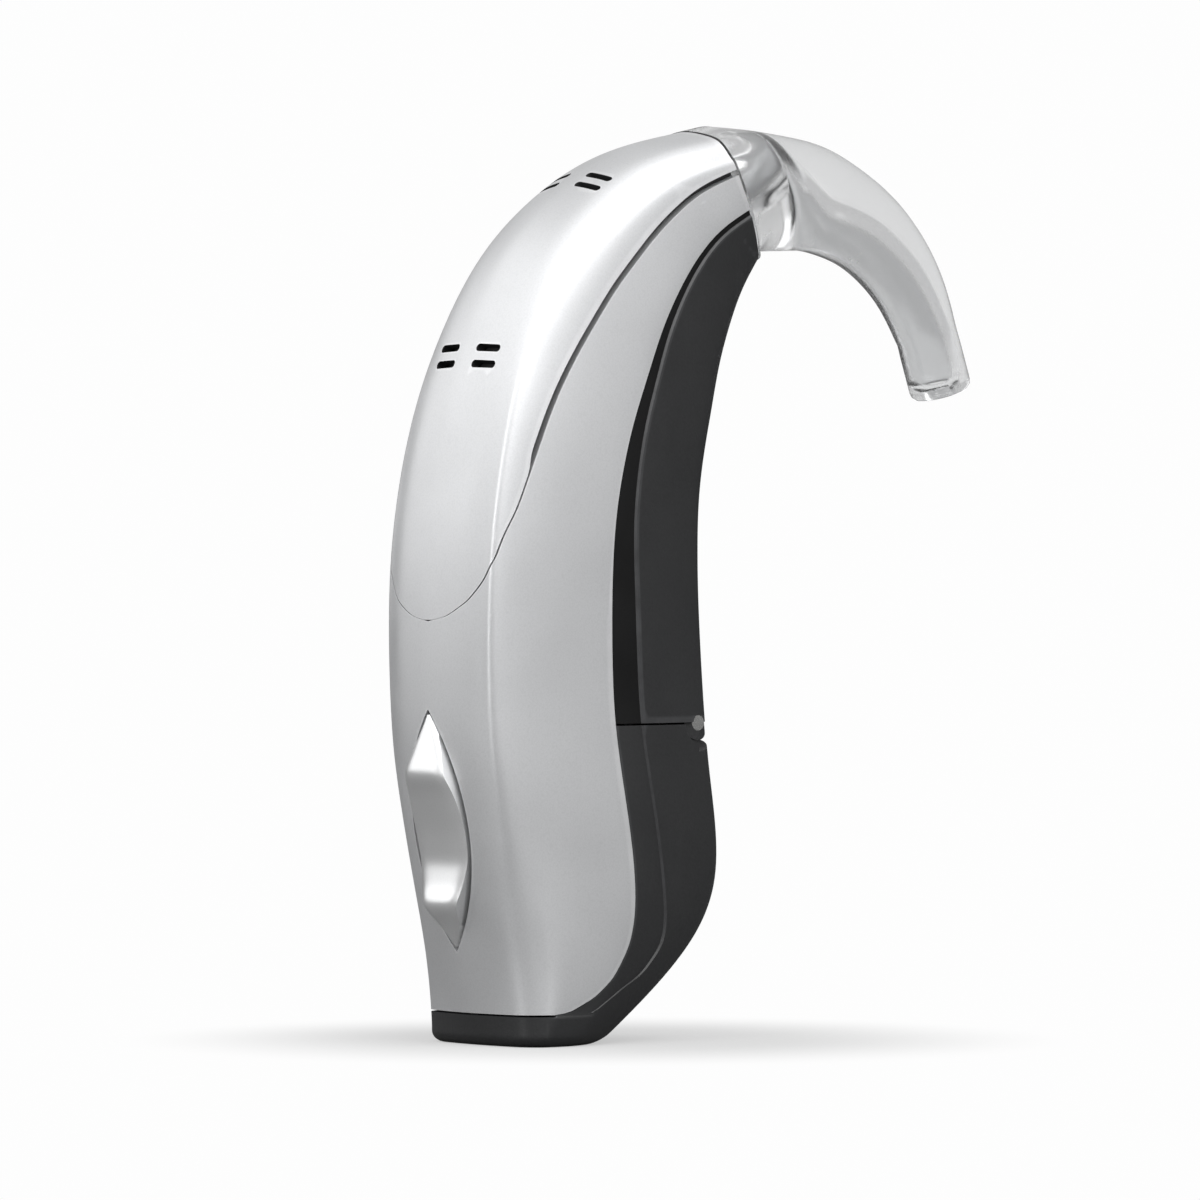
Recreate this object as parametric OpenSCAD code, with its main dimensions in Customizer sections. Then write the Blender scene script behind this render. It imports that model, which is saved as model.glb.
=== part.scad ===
// Behind-the-ear hearing aid with a clear ear hook, a swing-out battery door and a volume rocker.
// The case is a curved form: each cross section runs from the spine, which faces away from the ear,
// to the belly, which lies against it. X runs from the spine towards the hook, Y is the thickness
// and Z is up. The origin is the centre of the flat foot on the battery door.

/* [Case] */
// Height of the case
case_h = 45; // [38:0.5:52]
// Depth of the case from spine to belly at mid height
case_d = 14.6; // [13.6:0.1:17]
// Greatest thickness of the case
case_w = 9.3; // [9:0.1:11]
// Wall of the silver housing and of the black belly shell
wall_t = 0.85; // [0.7:0.05:1]
// Gap along every parting line
parting_gap = 0.1; // [0.06:0.01:0.15]
// Height of the black cap under the housing
cap_h = 1.5; // [1.2:0.1:2.2]
// Rounding round the foot
foot_r = 0.55; // [0.3:0.05:0.8]

/* [Microphone cover] */
// Thickness of the cover
cover_t = 0.5; // [0.4:0.05:0.55]
// Width of the open groove beside the cover
groove_w = 0.35; // [0.2:0.05:0.5]
// Length of a microphone slit
slit_l = 1.7; // [1.2:0.1:1.9]
// Width of a microphone slit
slit_w = 0.4; // [0.25:0.05:0.5]
// Distance between the two slits of a pair
slit_pitch = 0.85; // [0.7:0.05:1]

/* [Battery door] */
// Diameter of the button cell
cell_d = 7.9; // [7.7:0.05:7.95]
// Thickness of the button cell
cell_t = 5.4; // [5:0.05:5.4]
// Height of the hinge axis above the foot
hinge_z = 15.7; // [15.2:0.1:16.5]
// Diameter of the hinge pin
hinge_pin_d = 0.75; // [0.6:0.05:0.9]
// Outer radius of the hinge knuckle and of the lugs beside it
knuckle_r = 1; // [0.9:0.05:1.05]
// Width of the knuckle on the door
knuckle_w = 4; // [3.4:0.1:4.4]

/* [Volume rocker] */
// Length of the rocker
rocker_l = 11.8; // [10.5:0.1:12]
// Width of the rocker
rocker_w = 4.3; // [3.8:0.1:4.4]
// Height of the rocker's middle above the foot
rocker_z = 10.5; // [10.2:0.1:10.8]
// Diameter of the rocker's pivot pin
rocker_pin_d = 0.7; // [0.5:0.05:0.75]

/* [Ear hook] */
// How far the hook's end lies in front of its base
hook_reach = 13.5; // [12:0.5:16]
// How far the straight end of the hook starts below its base
hook_drop = 7.25; // [6.5:0.25:9]
// Outside diameter of the hook's straight end, which takes the tube
hook_tip_d = 3.15; // [2.9:0.05:3.3]
// Length of the hook's straight end
hook_tip_l = 3; // [2.6:0.1:3.5]
// Diameter of the sound bore
sound_bore_d = 1.4; // [1.1:0.1:1.6]
// Outside diameter of the nozzle that the hook turns on
nozzle_d = 2.8; // [2.6:0.1:3]
// Length of the nozzle outside the case
nozzle_l = 3.4; // [2.6:0.1:3.6]

/* [Hidden] */

// How much a cutting solid runs past what it cuts
cut_run = 1;
// Gap between parts that only lie against each other
seat_gap = 0.04;
// Facets of round things
round_fn = 64;

// Rows along the body, from the foot to the hook: spine X and Z, belly X and Z, width, shoulder
// depth. X is in shares of case_d, Z of case_h, and the width and the shoulder in shares of case_w.
station_share = [
    [0.171, 0.000, 0.555, 0.000, 0.968, 0.120],
    [0.158, 0.036, 0.705, 0.036, 0.989, 0.165],
    [0.120, 0.102, 0.938, 0.102, 1.000, 0.215],
    [0.068, 0.184, 1.068, 0.184, 1.000, 0.205],
    [0.020, 0.284, 1.048, 0.284, 1.000, 0.165],
    [0.000, 0.369, 1.020, 0.369, 0.989, 0.140],
    [0.000, 0.462, 1.000, 0.462, 0.989, 0.125],
    [0.014, 0.542, 0.993, 0.531, 0.989, 0.120],
    [0.048, 0.620, 1.000, 0.593, 0.978, 0.120],
    [0.100, 0.696, 1.027, 0.647, 0.957, 0.130],
    [0.168, 0.762, 1.062, 0.693, 0.925, 0.145],
    [0.257, 0.824, 1.096, 0.736, 0.892, 0.165],
    [0.384, 0.884, 1.137, 0.773, 0.849, 0.190],
    [0.568, 0.938, 1.185, 0.807, 0.796, 0.215],
    [0.795, 0.978, 1.233, 0.833, 0.742, 0.235],
    [1.075, 1.000, 1.284, 0.856, 0.688, 0.240]
];
// Round the spine: share of the shoulder depth, and share of half the width
shoulder_share = [[0, 0], [0.06, 0.30], [0.20, 0.60], [0.48, 0.84], [1, 0.955]];
// Down the side to the belly: share of the depth, and share of half the width
side_share = [
    [0.28, 1], [0.53, 0.985], [0.66, 0.945], [0.80, 0.87], [0.93, 0.775], [0.98, 0.68],
    [1, 0.45], [1, 0]
];
// Edge of the silver housing: share of the way along the body, share of the way round from the spine
edge_share = [
    [0.000, 0.423], [0.066, 0.423], [0.071, 0.450], [0.087, 0.490], [0.108, 0.520],
    [0.140, 0.530], [0.200, 0.515], [0.333, 0.502], [0.500, 0.507], [0.600, 0.520],
    [0.700, 0.540], [0.800, 0.550], [0.900, 0.548], [1.000, 0.535]
];
// Seam of the microphone cover, given in the same way
seam_share = [
    [0.000, 0.300], [0.330, 0.300], [0.398, 0.060], [0.403, 0.090], [0.417, 0.175],
    [0.438, 0.250], [0.458, 0.315], [0.504, 0.360], [0.558, 0.380], [0.621, 0.395],
    [0.675, 0.410], [0.725, 0.425], [0.817, 0.445], [0.900, 0.450], [1.000, 0.440]
];
// Where the cover starts, and where its open groove starts, along the body
cover_start_share = 0.403;
groove_start_share = [0.540, 0.575];

// Between two values
function mix(a, b, f) = a + (b - a) * f;
function unit(v) = v / norm(v);
function clamped(x) = min(max(x, 0), 1);
// A smooth curve through evenly spaced rows
function curve(rows, t) =
    let (n = len(rows) - 1, x = clamped(t) * n, i = min(floor(x), n - 1), f = x - i)
    let (p1 = rows[i], p2 = rows[i + 1])
    let (p0 = i > 0 ? rows[i - 1] : 2 * p1 - p2, p3 = i + 2 <= n ? rows[i + 2] : 2 * p2 - p1)
    (2 * p1 + (p2 - p0) * f + (2 * p0 - 5 * p1 + 4 * p2 - p3) * f * f
        + (3 * p1 - p0 - 3 * p2 + p3) * f * f * f) / 2;
// A value read from rows of place and value, joined by straight lines
function read_rows(rows, x) =
    let (i = min([for (k = [0 : len(rows) - 2]) if (x <= rows[k + 1][0] || k == len(rows) - 2) k]))
    mix(rows[i][1], rows[i + 1][1], clamped((x - rows[i][0]) / (rows[i + 1][0] - rows[i][0])));

// The foot's centre, which is the origin, measured from the spine's rearmost point
foot_x = case_d * (station_share[0][0] + station_share[0][2]) / 2;
function station(t) =
    let (r = curve(station_share, t))
    [[r[0] * case_d - foot_x, r[1] * case_h], [r[2] * case_d - foot_x, r[3] * case_h],
        r[4] * case_w, r[5] * case_w];
// A place on the case, t of the way along and u of the way round, sunk by a depth
function on_case(t, u, sunk = 0) =
    let (s = station(t), d = norm(s[1] - s[0]), e = (s[1] - s[0]) / d, w = s[2])
    let (outline = concat(
        [for (p = shoulder_share) [p[0] * s[3], p[1] * w / 2]],
        [for (p = side_share) [p[0] * d, p[1] * w / 2]]
    ))
    let (p = curve(outline, abs(u)), a = sunk + p[0] * (1 - 2 * sunk / d))
    [s[0][0] + e[0] * a, sign(u) * p[1] * (1 - 2 * sunk / w), s[0][1] + e[1] * a];
// How far round the case a length reaches at one place, as a share
probe_share = 0.005;
function round_by(t, u, length) =
    length * 2 * probe_share / norm(on_case(t, u + probe_share) - on_case(t, u - probe_share));
// The place along the body where the spine reaches a height, below mid height
function along_at(z, lo = 0, hi = 0.5, tries = 24) =
    tries == 0 ? (lo + hi) / 2 :
    let (m = (lo + hi) / 2) station(m)[0][1] < z
        ? along_at(z, m, hi, tries - 1) : along_at(z, lo, m, tries - 1);

// A closed solid from rows of places: each row is a ring
module loft(rings) {
    rows = len(rings);
    m = len(rings[0]);
    polyhedron(
        points = [for (r = rings) for (p = r) p],
        faces = concat(
            [[for (j = [0 : m - 1]) j]],
            [for (i = [0 : rows - 2]) for (j = [0 : m - 1]) let (k = (j + 1) % m)
                for (f = [[i * m + j, (i + 1) * m + j, i * m + k],
                    [i * m + k, (i + 1) * m + j, (i + 1) * m + k]]) f],
            [[for (j = [m - 1 : -1 : 0]) (rows - 1) * m + j]]
        )
    );
}

// A curved shell between an outer and an inner grid of places with the same rows and columns
module shell_between(outer, inner) {
    rows = len(outer);
    m = len(outer[0]);
    ring = concat(
        [for (j = [0 : m - 1]) [0, j]], [for (i = [1 : rows - 1]) [i, m - 1]],
        [for (j = [m - 2 : -1 : 0]) [rows - 1, j]], [for (i = [rows - 2 : -1 : 1]) [i, 0]]
    );
    n = rows * m;
    polyhedron(
        points = concat([for (r = outer) for (p = r) p], [for (r = inner) for (p = r) p]),
        faces = concat(
            [for (i = [0 : rows - 2]) for (j = [0 : m - 2]) let (a = i * m + j)
                for (f = [[a, a + 1, a + m], [a + 1, a + m + 1, a + m]]) f],
            [for (i = [0 : rows - 2]) for (j = [0 : m - 2]) let (a = n + i * m + j)
                for (f = [[a, a + m, a + 1], [a + 1, a + m, a + m + 1]]) f],
            [for (k = [0 : len(ring) - 1])
                let (p = ring[k], q = ring[(k + 1) % len(ring)])
                let (a = p[0] * m + p[1], b = q[0] * m + q[1])
                for (f = [[a, n + a, b], [b, n + a, n + b]]) f]
        )
    );
}

// Turns and moves a shape so that its Z axis points along a direction in the XZ plane
module aim(place, direction) {
    translate([place[0], 0, place[1]])
        rotate([0, atan2(direction[0], direction[1]), 0])
            children();
}

// A round bar along Y
module bar_y(r, l) {
    rotate([90, 0, 0]) cylinder(r = r, h = l, center = true, $fn = round_fn);
}

// A flat outline in X and Z, given a thickness along Y about the middle
module plate_y(points, l) {
    rotate([90, 0, 0]) linear_extrude(height = l, center = true) polygon(points);
}

// The cell's place, with room behind it for the rocker's switches
cell_back_room = 3.3;
cell_gap = 0.08;
cradle_floor_t = 0.85;
cell_z = cap_h + cradle_floor_t + cell_gap + cell_d / 2;
cell_x = on_case(along_at(cell_z), 0)[0] + cell_back_room + cell_d / 2;
// The hinge axis lies this far inside the belly
hinge_inset = knuckle_r + seat_gap;
hinge_x = on_case(along_at(hinge_z), 1)[0] - hinge_inset;

// Main housing: silver shell round the spine and the sides, recessed under the microphone cover
housing_along_share = [
    0.071, 0.087, 0.108, 0.14, 0.17, 0.20, 0.233, 0.267, 0.30, 0.33, 0.36, 0.385, 0.398, 0.403,
    0.417, 0.438, 0.458, 0.49, 0.53, 0.558, 0.60, 0.64, 0.68, 0.72, 0.76, 0.80, 0.84, 0.88, 0.92,
    0.96, 1
];
recess_t = cover_t + 2 * seat_gap;
function groove_at(t) =
    mix(parting_gap, groove_w, clamped((t - groove_start_share[0])
        / (groove_start_share[1] - groove_start_share[0])));
// Columns on one side: from the middle of the spine to the seam, then to the edge
seam_steps = 3;
side_steps = 5;
ramp_w = 0.06;
function housing_columns(t) =
    let (seam = read_rows(seam_share, t), edge = read_rows(edge_share, t))
    let (ramp = round_by(t, seam, ramp_w))
    concat(
        [for (k = [1 : seam_steps]) [(seam - ramp) * k / seam_steps, recess_t]],
        [for (k = [0 : side_steps]) [mix(seam, edge, k / side_steps), 0]]
    );
function mirrored(columns) = concat(
    [for (k = [len(columns) - 1 : -1 : 0]) [-columns[k][0], columns[k][1]]],
    [[0, columns[0][1]]], columns
);
module main_housing() {
    low = along_at(cap_h + parting_gap);
    along = concat([low], [for (t = housing_along_share) if (t > low + probe_share / 2) t]);
    color("silver")
        difference() {
            shell_between(
                [for (t = along) [for (c = mirrored(housing_columns(t)))
                    on_case(t, c[0], t >= cover_start_share ? c[1] : 0)]],
                [for (t = along) [for (c = mirrored(housing_columns(t))) on_case(t, c[0], wall_t)]]
            );
            rocker_place() lens(rocker_l + 2 * rocker_gap, rocker_w + 2 * rocker_gap, wall_t + 2 * cut_run);
            for (t = mic_along_share)
                mic_place(t) cylinder(d = port_d, h = wall_t + 2 * cut_run, center = true, $fn = round_fn);
        }
}

// Microphone cover: thin silver cover over both microphones, with their slits
function cover_columns(t, steps = 4) =
    let (seam = read_rows(seam_share, t), reach = seam - round_by(t, seam, groove_at(t) + ramp_w))
    [for (k = [-steps : steps]) reach * k / steps];
module microphone_cover() {
    along = [for (t = housing_along_share) if (t > cover_start_share) t];
    start = cover_start_share + parting_gap / case_h;
    color("gainsboro")
        difference() {
            shell_between(
                [for (t = concat([start], along)) [for (u = cover_columns(t)) on_case(t, u)]],
                [for (t = concat([start], along)) [for (u = cover_columns(t)) on_case(t, u, cover_t)]]
            );
            for (t = mic_along_share)
                mic_place(t)
                    for (side = [-1, 1])
                        for (row = [-1, 1])
                            translate([row * slit_pitch / 2, side * (slit_start + slit_l / 2), 0])
                                cube([slit_w, slit_l, 2 * (cover_t + cut_run)], center = true);
        }
}

// Belly shell: black inner half of the case above the door, with the lugs that hold the hinge pin
belly_along_share = [
    0.35, 0.38, 0.42, 0.46, 0.50, 0.54, 0.58, 0.62, 0.66, 0.70, 0.74, 0.78, 0.82, 0.86, 0.90,
    0.94, 0.97, 1
];
belly_round_share = [0, 0.12, 0.24, 0.36, 0.48, 0.58, 0.68, 0.76, 0.84, 0.92, 1];
// Distance from the hinge axis that the swinging door sweeps
hinge_sweep_r = 1.4 * knuckle_r;
lug_gap = 0.12;
lug_r = 0.85 * knuckle_r;
lug_w = 1.4;
function belly_columns(t) =
    let (edge = read_rows(edge_share, t), start = edge + round_by(t, edge, parting_gap))
    let (half = [for (f = belly_round_share) mix(start, 1, f)])
    concat(half, [for (k = [len(half) - 2 : -1 : 0]) -half[k]]);
module belly_shell() {
    along = concat([along_at(hinge_z + parting_gap / 2)], belly_along_share);
    color([0.1, 0.1, 0.11])
        difference() {
            union() {
                shell_between(
                    [for (t = along) [for (u = belly_columns(t)) on_case(t, u)]],
                    [for (t = along) [for (u = belly_columns(t)) on_case(t, u, wall_t)]]
                );
                intersection() {
                    loft([for (f = [-1.5 : 1 : 1.5]) case_ring(hinge_z + f * knuckle_r, seat_gap)]);
                    for (side = [-1, 1])
                        translate([hinge_x, side * (knuckle_w + lug_gap + lug_w) / 2, hinge_z])
                            bar_y(lug_r, lug_gap + lug_w);
                }
            }
            translate([hinge_x, 0, hinge_z]) bar_y(hinge_sweep_r, knuckle_w + 2 * lug_gap);
            translate([hinge_x, 0, hinge_z]) bar_y(hinge_pin_d / 2, case_w);
        }
}

// Hinge pin: steel, pressed into the lugs, its ends showing on the belly's corners
module door_hinge_pin() {
    color("lightgray")
        translate([hinge_x, 0, hinge_z])
            bar_y(hinge_pin_d / 2, knuckle_w + 2 * (lug_gap + lug_w));
}

// Battery door: black lower end of the case, with the cell's cradle, swinging on the hinge pin
door_round_share = [
    0, 0.05, 0.10, 0.15, 0.20, 0.25, 0.29, 0.333, 0.375, 0.417, 0.50, 0.58, 0.667, 0.72, 0.775,
    0.833, 0.875, 0.917, 0.96
];
door_along_share = [0.13, 0.22, 0.32, 0.45, 0.60, 0.75, 0.90];
door_wall = 1.1;
cradle_w = 7.1;
cradle_lip = 0.35;
// The web that joins the knuckle to the door's wall
web_t = 0.35;
web_l = 2.6;
pin_clearance = 0.03;
function case_ring(z, sunk) =
    let (t = along_at(z), p = [for (u = concat(door_round_share, [1])) on_case(t, u, sunk)])
    concat(
        [for (q = p) [q[0], -q[1], z]],
        [for (k = [len(p) - 2 : -1 : 1]) [p[k][0], p[k][1], z]]
    );
// Outline of what stays on the housing's side of the door
function housing_side(gap) =
    let (top = hinge_z + cut_run, low = along_at(cap_h + parting_gap), high = along_at(top))
    let (edge = [for (t = concat([low], [for (r = edge_share) if (r[0] > low && r[0] < high) r[0]], [high]))
        let (u = read_rows(edge_share, t), outside = on_case(t, u), inside = on_case(t, u, wall_t))
        [max(outside[0], inside[0]) + gap, outside[2]]])
    concat(
        [[-case_d, cap_h], [edge[0][0], cap_h]],
        edge,
        [[-case_d, edge[len(edge) - 1][1]]]
    );
module battery_door() {
    top = hinge_z - parting_gap / 2;
    pocket_r = cell_d / 2 + cell_gap;
    cradle_top = cell_z + pocket_r + cradle_lip;
    cradle_low = cap_h + cradle_floor_t;
    cradle_back = cell_x - 0.75 * cell_d / 2;
    cradle_front = cell_x + 0.5 * cell_d / 2;
    color([0.12, 0.12, 0.13])
        difference() {
            union() {
                difference() {
                    loft(concat(
                        [for (a = [0, 30, 60, 90]) case_ring(foot_r * (1 - cos(a)), foot_r * (1 - sin(a)))],
                        [for (f = door_along_share) case_ring(mix(foot_r, top, f), 0)],
                        [case_ring(top, 0)]
                    ));
                    plate_y(housing_side(parting_gap + seat_gap), 2 * case_w);
                    translate([hinge_x, 0, hinge_z]) bar_y(hinge_sweep_r, knuckle_w + 2 * lug_gap);
                    translate([hinge_x, 0, hinge_z]) bar_y(lug_r + lug_gap, 2 * case_w);
                    intersection() {
                        translate([hinge_x, 0, hinge_z]) bar_y(hinge_sweep_r, case_w + cut_run);
                        translate([hinge_x, -case_w, hinge_z - case_d])
                            cube([case_d, 2 * case_w, 2 * case_d]);
                    }
                    plate_y(concat(
                        [[0, cradle_top], [0, hinge_z + cut_run]],
                        [for (f = [0 : 0.25 : 1]) let (z = mix(hinge_z + cut_run, cradle_top, f))
                            [on_case(along_at(z), 1)[0] - door_wall, z]]
                    ), case_w - 2 * door_wall);
                }
                plate_y([
                    [cradle_back, cap_h / 2], [cradle_back, cradle_low], [cell_x, cradle_low],
                    [cell_x, cradle_top], [cradle_front, cradle_top], [cradle_front, cell_z],
                    [cell_x, cap_h / 2]
                ], cradle_w);
                translate([hinge_x, 0, hinge_z]) bar_y(knuckle_r - seat_gap, knuckle_w);
                plate_y([
                    [hinge_x - knuckle_r + seat_gap, hinge_z], [hinge_x + web_t, hinge_z],
                    [hinge_x + web_t, hinge_z - web_l], [hinge_x - knuckle_r + seat_gap, hinge_z - web_l]
                ], knuckle_w);
            }
            translate([cell_x, 0, cell_z]) bar_y(pocket_r, cell_t + 2 * cell_gap);
            translate([hinge_x, 0, hinge_z]) bar_y(hinge_pin_d / 2 + pin_clearance, case_w);
        }
}

// Battery cell: a zinc-air button cell, its can outwards on one face and its cap on the other
cell_cap_t = 0.5;
cell_rim_r = 0.35;
module battery_cell() {
    color("lightgray")
        translate([cell_x, 0, cell_z])
            rotate([90, 0, 0])
                translate([0, 0, -cell_t / 2])
                    rotate_extrude($fn = round_fn)
                        polygon([
                            [0, 0], [cell_d / 2 - cell_rim_r, 0], [cell_d / 2, cell_rim_r],
                            [cell_d / 2, cell_t - cell_cap_t - cell_rim_r],
                            [cell_d / 2 - cell_rim_r, cell_t - cell_cap_t],
                            [cell_d / 2 - 2 * cell_rim_r, cell_t - cell_cap_t],
                            [cell_d / 2 - 3 * cell_rim_r, cell_t], [0, cell_t]
                        ]);
}

// Electronics frame: a moulded plate along the middle of the case, with a block over the cell
frame_t = 0.8;
frame_y = 0.7;
frame_gap = 0.2;
cell_head_room = 1;
block_low = cell_z + cell_d / 2 + cell_head_room;
block_h = 1.6;
block_w = 6.4;
block_front_x = hinge_x - 1.7 * knuckle_r;
block_back_x = cell_x - 0.62 * cell_d;
frame_along_share = [0.40, 0.46, 0.52, 0.58, 0.64, 0.70, 0.76];
module electronics_frame() {
    inner = wall_t + frame_gap;
    side_x = rocker_bracket_reach();
    color([0.75, 0.76, 0.72])
        difference() {
            union() {
                translate([0, frame_y, 0])
                    plate_y(concat(
                        [[block_back_x + frame_gap, block_low + block_h / 2]],
                        [[block_back_x + frame_gap, rocker_top_z()], [side_x, rocker_top_z()]],
                        [for (t = frame_along_share) let (p = on_case(t, 0, inner)) [p[0], p[2]]],
                        [for (k = [len(frame_along_share) - 1 : -1 : 0])
                            let (p = on_case(frame_along_share[k], 1, inner)) [p[0], p[2]]],
                        [[block_front_x, hinge_z + hinge_sweep_r], [block_front_x, block_low + block_h / 2]]
                    ), frame_t);
                translate([block_back_x, -block_w / 2, block_low])
                    cube([block_front_x - block_back_x, block_w, block_h]);
            }
            boot_place()
                cube([boot_size()[0] + 2 * seat_gap, boot_size()[1] + 2 * seat_gap, 2 * boot_size()[2]],
                    center = true);
            mic_place(mic_along_share[0])
                cylinder(d = mic_d + 2 * sleeve_t + 2 * seat_gap, h = 2 * (mic_depth + mic_h + seat_gap),
                    center = true, $fn = round_fn);
        }
}

// Battery contacts: leaf springs that hang from the block beside the cell
leaf_t = 0.15;
leaf_w = 1.8;
leaf_foot = 1.6;
leaf_x = cell_x - 0.3 * cell_d;
contact_gap = 0.06;
module battery_contact(side, low) {
    y = cell_t / 2 + contact_gap;
    top = block_low - seat_gap / 2;
    color("goldenrod")
        translate([leaf_x, 0, 0])
            mirror([0, side < 0 ? 1 : 0, 0]) {
                translate([0, y, low]) cube([leaf_w, leaf_t, top - low]);
                translate([0, y - leaf_foot, top - leaf_t]) cube([leaf_w, leaf_foot + leaf_t, leaf_t]);
            }
}
module battery_contact_positive() {
    battery_contact(1, cell_z - 0.1 * cell_d);
}
module battery_contact_negative() {
    battery_contact(-1, cell_z + 0.05 * cell_d);
}

// Programming pads: gold pads under the block, reached when the door is open
pad_d = 0.7;
pad_h = 0.15;
pad_pitch = 1.12;
pad_inset = 1.8;
module programming_pads() {
    color("gold")
        for (k = [0 : 3])
            translate([leaf_x + leaf_w + pad_inset, (k - 1.5) * pad_pitch, block_low - pad_h])
                cylinder(d = pad_d, h = pad_h, $fn = round_fn);
}

// The volume rocker's own frame: Z up the spine, X into the case, at the middle of the rocker
rocker_gap = 0.12;
rocker_proud = 0.45;
rocker_body_t = 1;
// How much each pointed end of the lens is blunted
rocker_tip_cut = 0.15;
rocker_pin_x = 2;
rocker_lug_w = 3.2;
rocker_lug_r = 0.45;
nib_r = 0.45;
nib_z = 0.34 * rocker_l;
function spine_at(z) = let (p = on_case(along_at(z), 0)) [p[0], p[2]];
rocker_up = unit(spine_at(rocker_z + rocker_l / 2) - spine_at(rocker_z - rocker_l / 2));
rocker_in = [rocker_up[1], -rocker_up[0]];
module rocker_place() {
    aim(spine_at(rocker_z), rocker_up) children();
}
// Lens outline with pointed ends, extruded along X about the middle
module lens(l, w, t) {
    r = (l * l + w * w) / (4 * w);
    rotate([0, 90, 0])
        linear_extrude(height = t, center = true)
            intersection() {
                translate([0, r - w / 2]) circle(r = r, $fn = round_fn);
                translate([0, w / 2 - r]) circle(r = r, $fn = round_fn);
            }
}
// How far the rocker stands proud of the spine, from its lower end to its upper end
rocker_crown_share = [0.02, 0.30, 0.80, 1.00, 0.72, 0.38, 0.30, 0.42, 0.85, 0.75, 0.02];
module volume_rocker() {
    steps = 24;
    half_l = rocker_l / 2 - rocker_tip_cut;
    crown = [for (k = [0 : steps])
        let (z = mix(-half_l, half_l, k / steps))
        let (skin = (spine_at(rocker_z + z * rocker_up[1]) - spine_at(rocker_z)) * rocker_in)
        [skin - rocker_proud * curve(rocker_crown_share, k / steps), z]];
    color("silver")
        rocker_place()
            difference() {
                union() {
                    intersection() {
                        lens(rocker_l, rocker_w, 2 * rocker_body_t + 2 * cut_run);
                        plate_y(concat(crown, [[rocker_body_t, half_l], [rocker_body_t, -half_l]]),
                            rocker_w + cut_run);
                    }
                    translate([rocker_pin_x, 0, 0]) bar_y(rocker_lug_r, rocker_lug_w);
                    translate([rocker_body_t / 2, -rocker_lug_w / 2, -rocker_lug_r])
                        cube([rocker_pin_x - rocker_body_t / 2, rocker_lug_w, 2 * rocker_lug_r]);
                    for (side = [-1, 1])
                        translate([rocker_body_t / 2, 0, side * nib_z])
                            rotate([0, 90, 0])
                                cylinder(r = nib_r, h = rocker_pin_x - rocker_body_t / 2, $fn = round_fn);
                }
                translate([rocker_pin_x, 0, 0]) bar_y(rocker_pin_d / 2 + pin_clearance, case_w);
            }
}

// Rocker bracket: two rails beside the switch board, with the ears that hold the rocker's pin
bracket_in = 2.35;
bracket_t = 0.45;
rail_x = 2.05;
board_t = 0.3;
dome_h = 0.25;
dome_d = 2.2;
dome_gap = 0.3;
switch_board_x = rocker_pin_x + dome_gap + dome_h;
bracket_end_l = 0.2;
bracket_l = rocker_l + 2 * bracket_end_l;
ear_l = 1.8;
ear_x = 1.45;
module rocker_bracket() {
    color([0.75, 0.76, 0.72])
        rocker_place()
            difference() {
                for (side = [-1, 1])
                    union() {
                        translate([rail_x, side * (bracket_in + bracket_t / 2) - bracket_t / 2, -bracket_l / 2])
                            cube([switch_board_x + board_t - rail_x, bracket_t, bracket_l]);
                        translate([ear_x, side * (bracket_in + bracket_t / 2) - bracket_t / 2, -ear_l / 2])
                            cube([switch_board_x + board_t - ear_x, bracket_t, ear_l]);
                    }
                translate([rocker_pin_x, 0, 0]) bar_y(rocker_pin_d / 2, case_w);
            }
}
module rocker_pin() {
    color("lightgray")
        rocker_place()
            translate([rocker_pin_x, 0, 0])
                bar_y(rocker_pin_d / 2, 2 * (bracket_in + bracket_t));
}

// Switch board and its two dome switches, one under each end of the rocker
module rocker_switch_board() {
    color([0.1, 0.35, 0.2])
        rocker_place()
            translate([switch_board_x, -bracket_in, -bracket_l / 2])
                cube([board_t, 2 * bracket_in, bracket_l]);
}
module dome_switches() {
    color("lightgray")
        rocker_place()
            for (side = [-1, 1])
                translate([switch_board_x, 0, side * nib_z])
                    rotate([0, -90, 0])
                        cylinder(d1 = dome_d, d2 = dome_d / 2, h = dome_h, $fn = round_fn);
}
function rocker_top_z() = spine_at(rocker_z)[1] + (bracket_l / 2 + frame_gap) * rocker_up[1]
    + (switch_board_x + board_t) * rocker_in[1];
function rocker_bracket_reach() = on_case(along_at(rocker_top_z()), 0, wall_t + frame_gap)[0];

// Microphones under the cover, each in a sleeve below its port
mic_along_share = [0.655, 0.878];
slit_start = 0.7;
mic_d = 2.5;
mic_h = 2;
port_d = 1.6;
sleeve_t = 0.4;
sleeve_h = 1.6;
screen_t = 0.1;
// How far the housing's crown falls away over the width of a sleeve
mic_sink = 0.45;
mic_depth = wall_t + mic_sink;
function spine_along(t) = unit(station(t + probe_share)[0] - station(t - probe_share)[0]);
module mic_place(t) {
    aim(station(t)[0], [spine_along(t)[1], -spine_along(t)[0]]) children();
}
module microphone(t) {
    color("lightgray")
        mic_place(t)
            translate([0, 0, mic_depth]) {
                difference() {
                    cylinder(d = mic_d, h = mic_h, $fn = round_fn);
                    translate([0, 0, -cut_run]) cylinder(d = port_d / 4, h = 1.5 * cut_run, $fn = round_fn);
                }
            }
}
module microphone_sleeve(t) {
    color([0.2, 0.2, 0.22])
        mic_place(t)
            translate([0, 0, mic_depth + seat_gap])
                difference() {
                    cylinder(d = mic_d + 2 * sleeve_t, h = sleeve_h, $fn = round_fn);
                    translate([0, 0, -cut_run])
                        cylinder(d = mic_d + seat_gap, h = sleeve_h + 2 * cut_run, $fn = round_fn);
                }
}
module rear_microphone() {
    microphone(mic_along_share[0]);
}
module front_microphone() {
    microphone(mic_along_share[1]);
}
module rear_microphone_sleeve() {
    microphone_sleeve(mic_along_share[0]);
}
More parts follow.
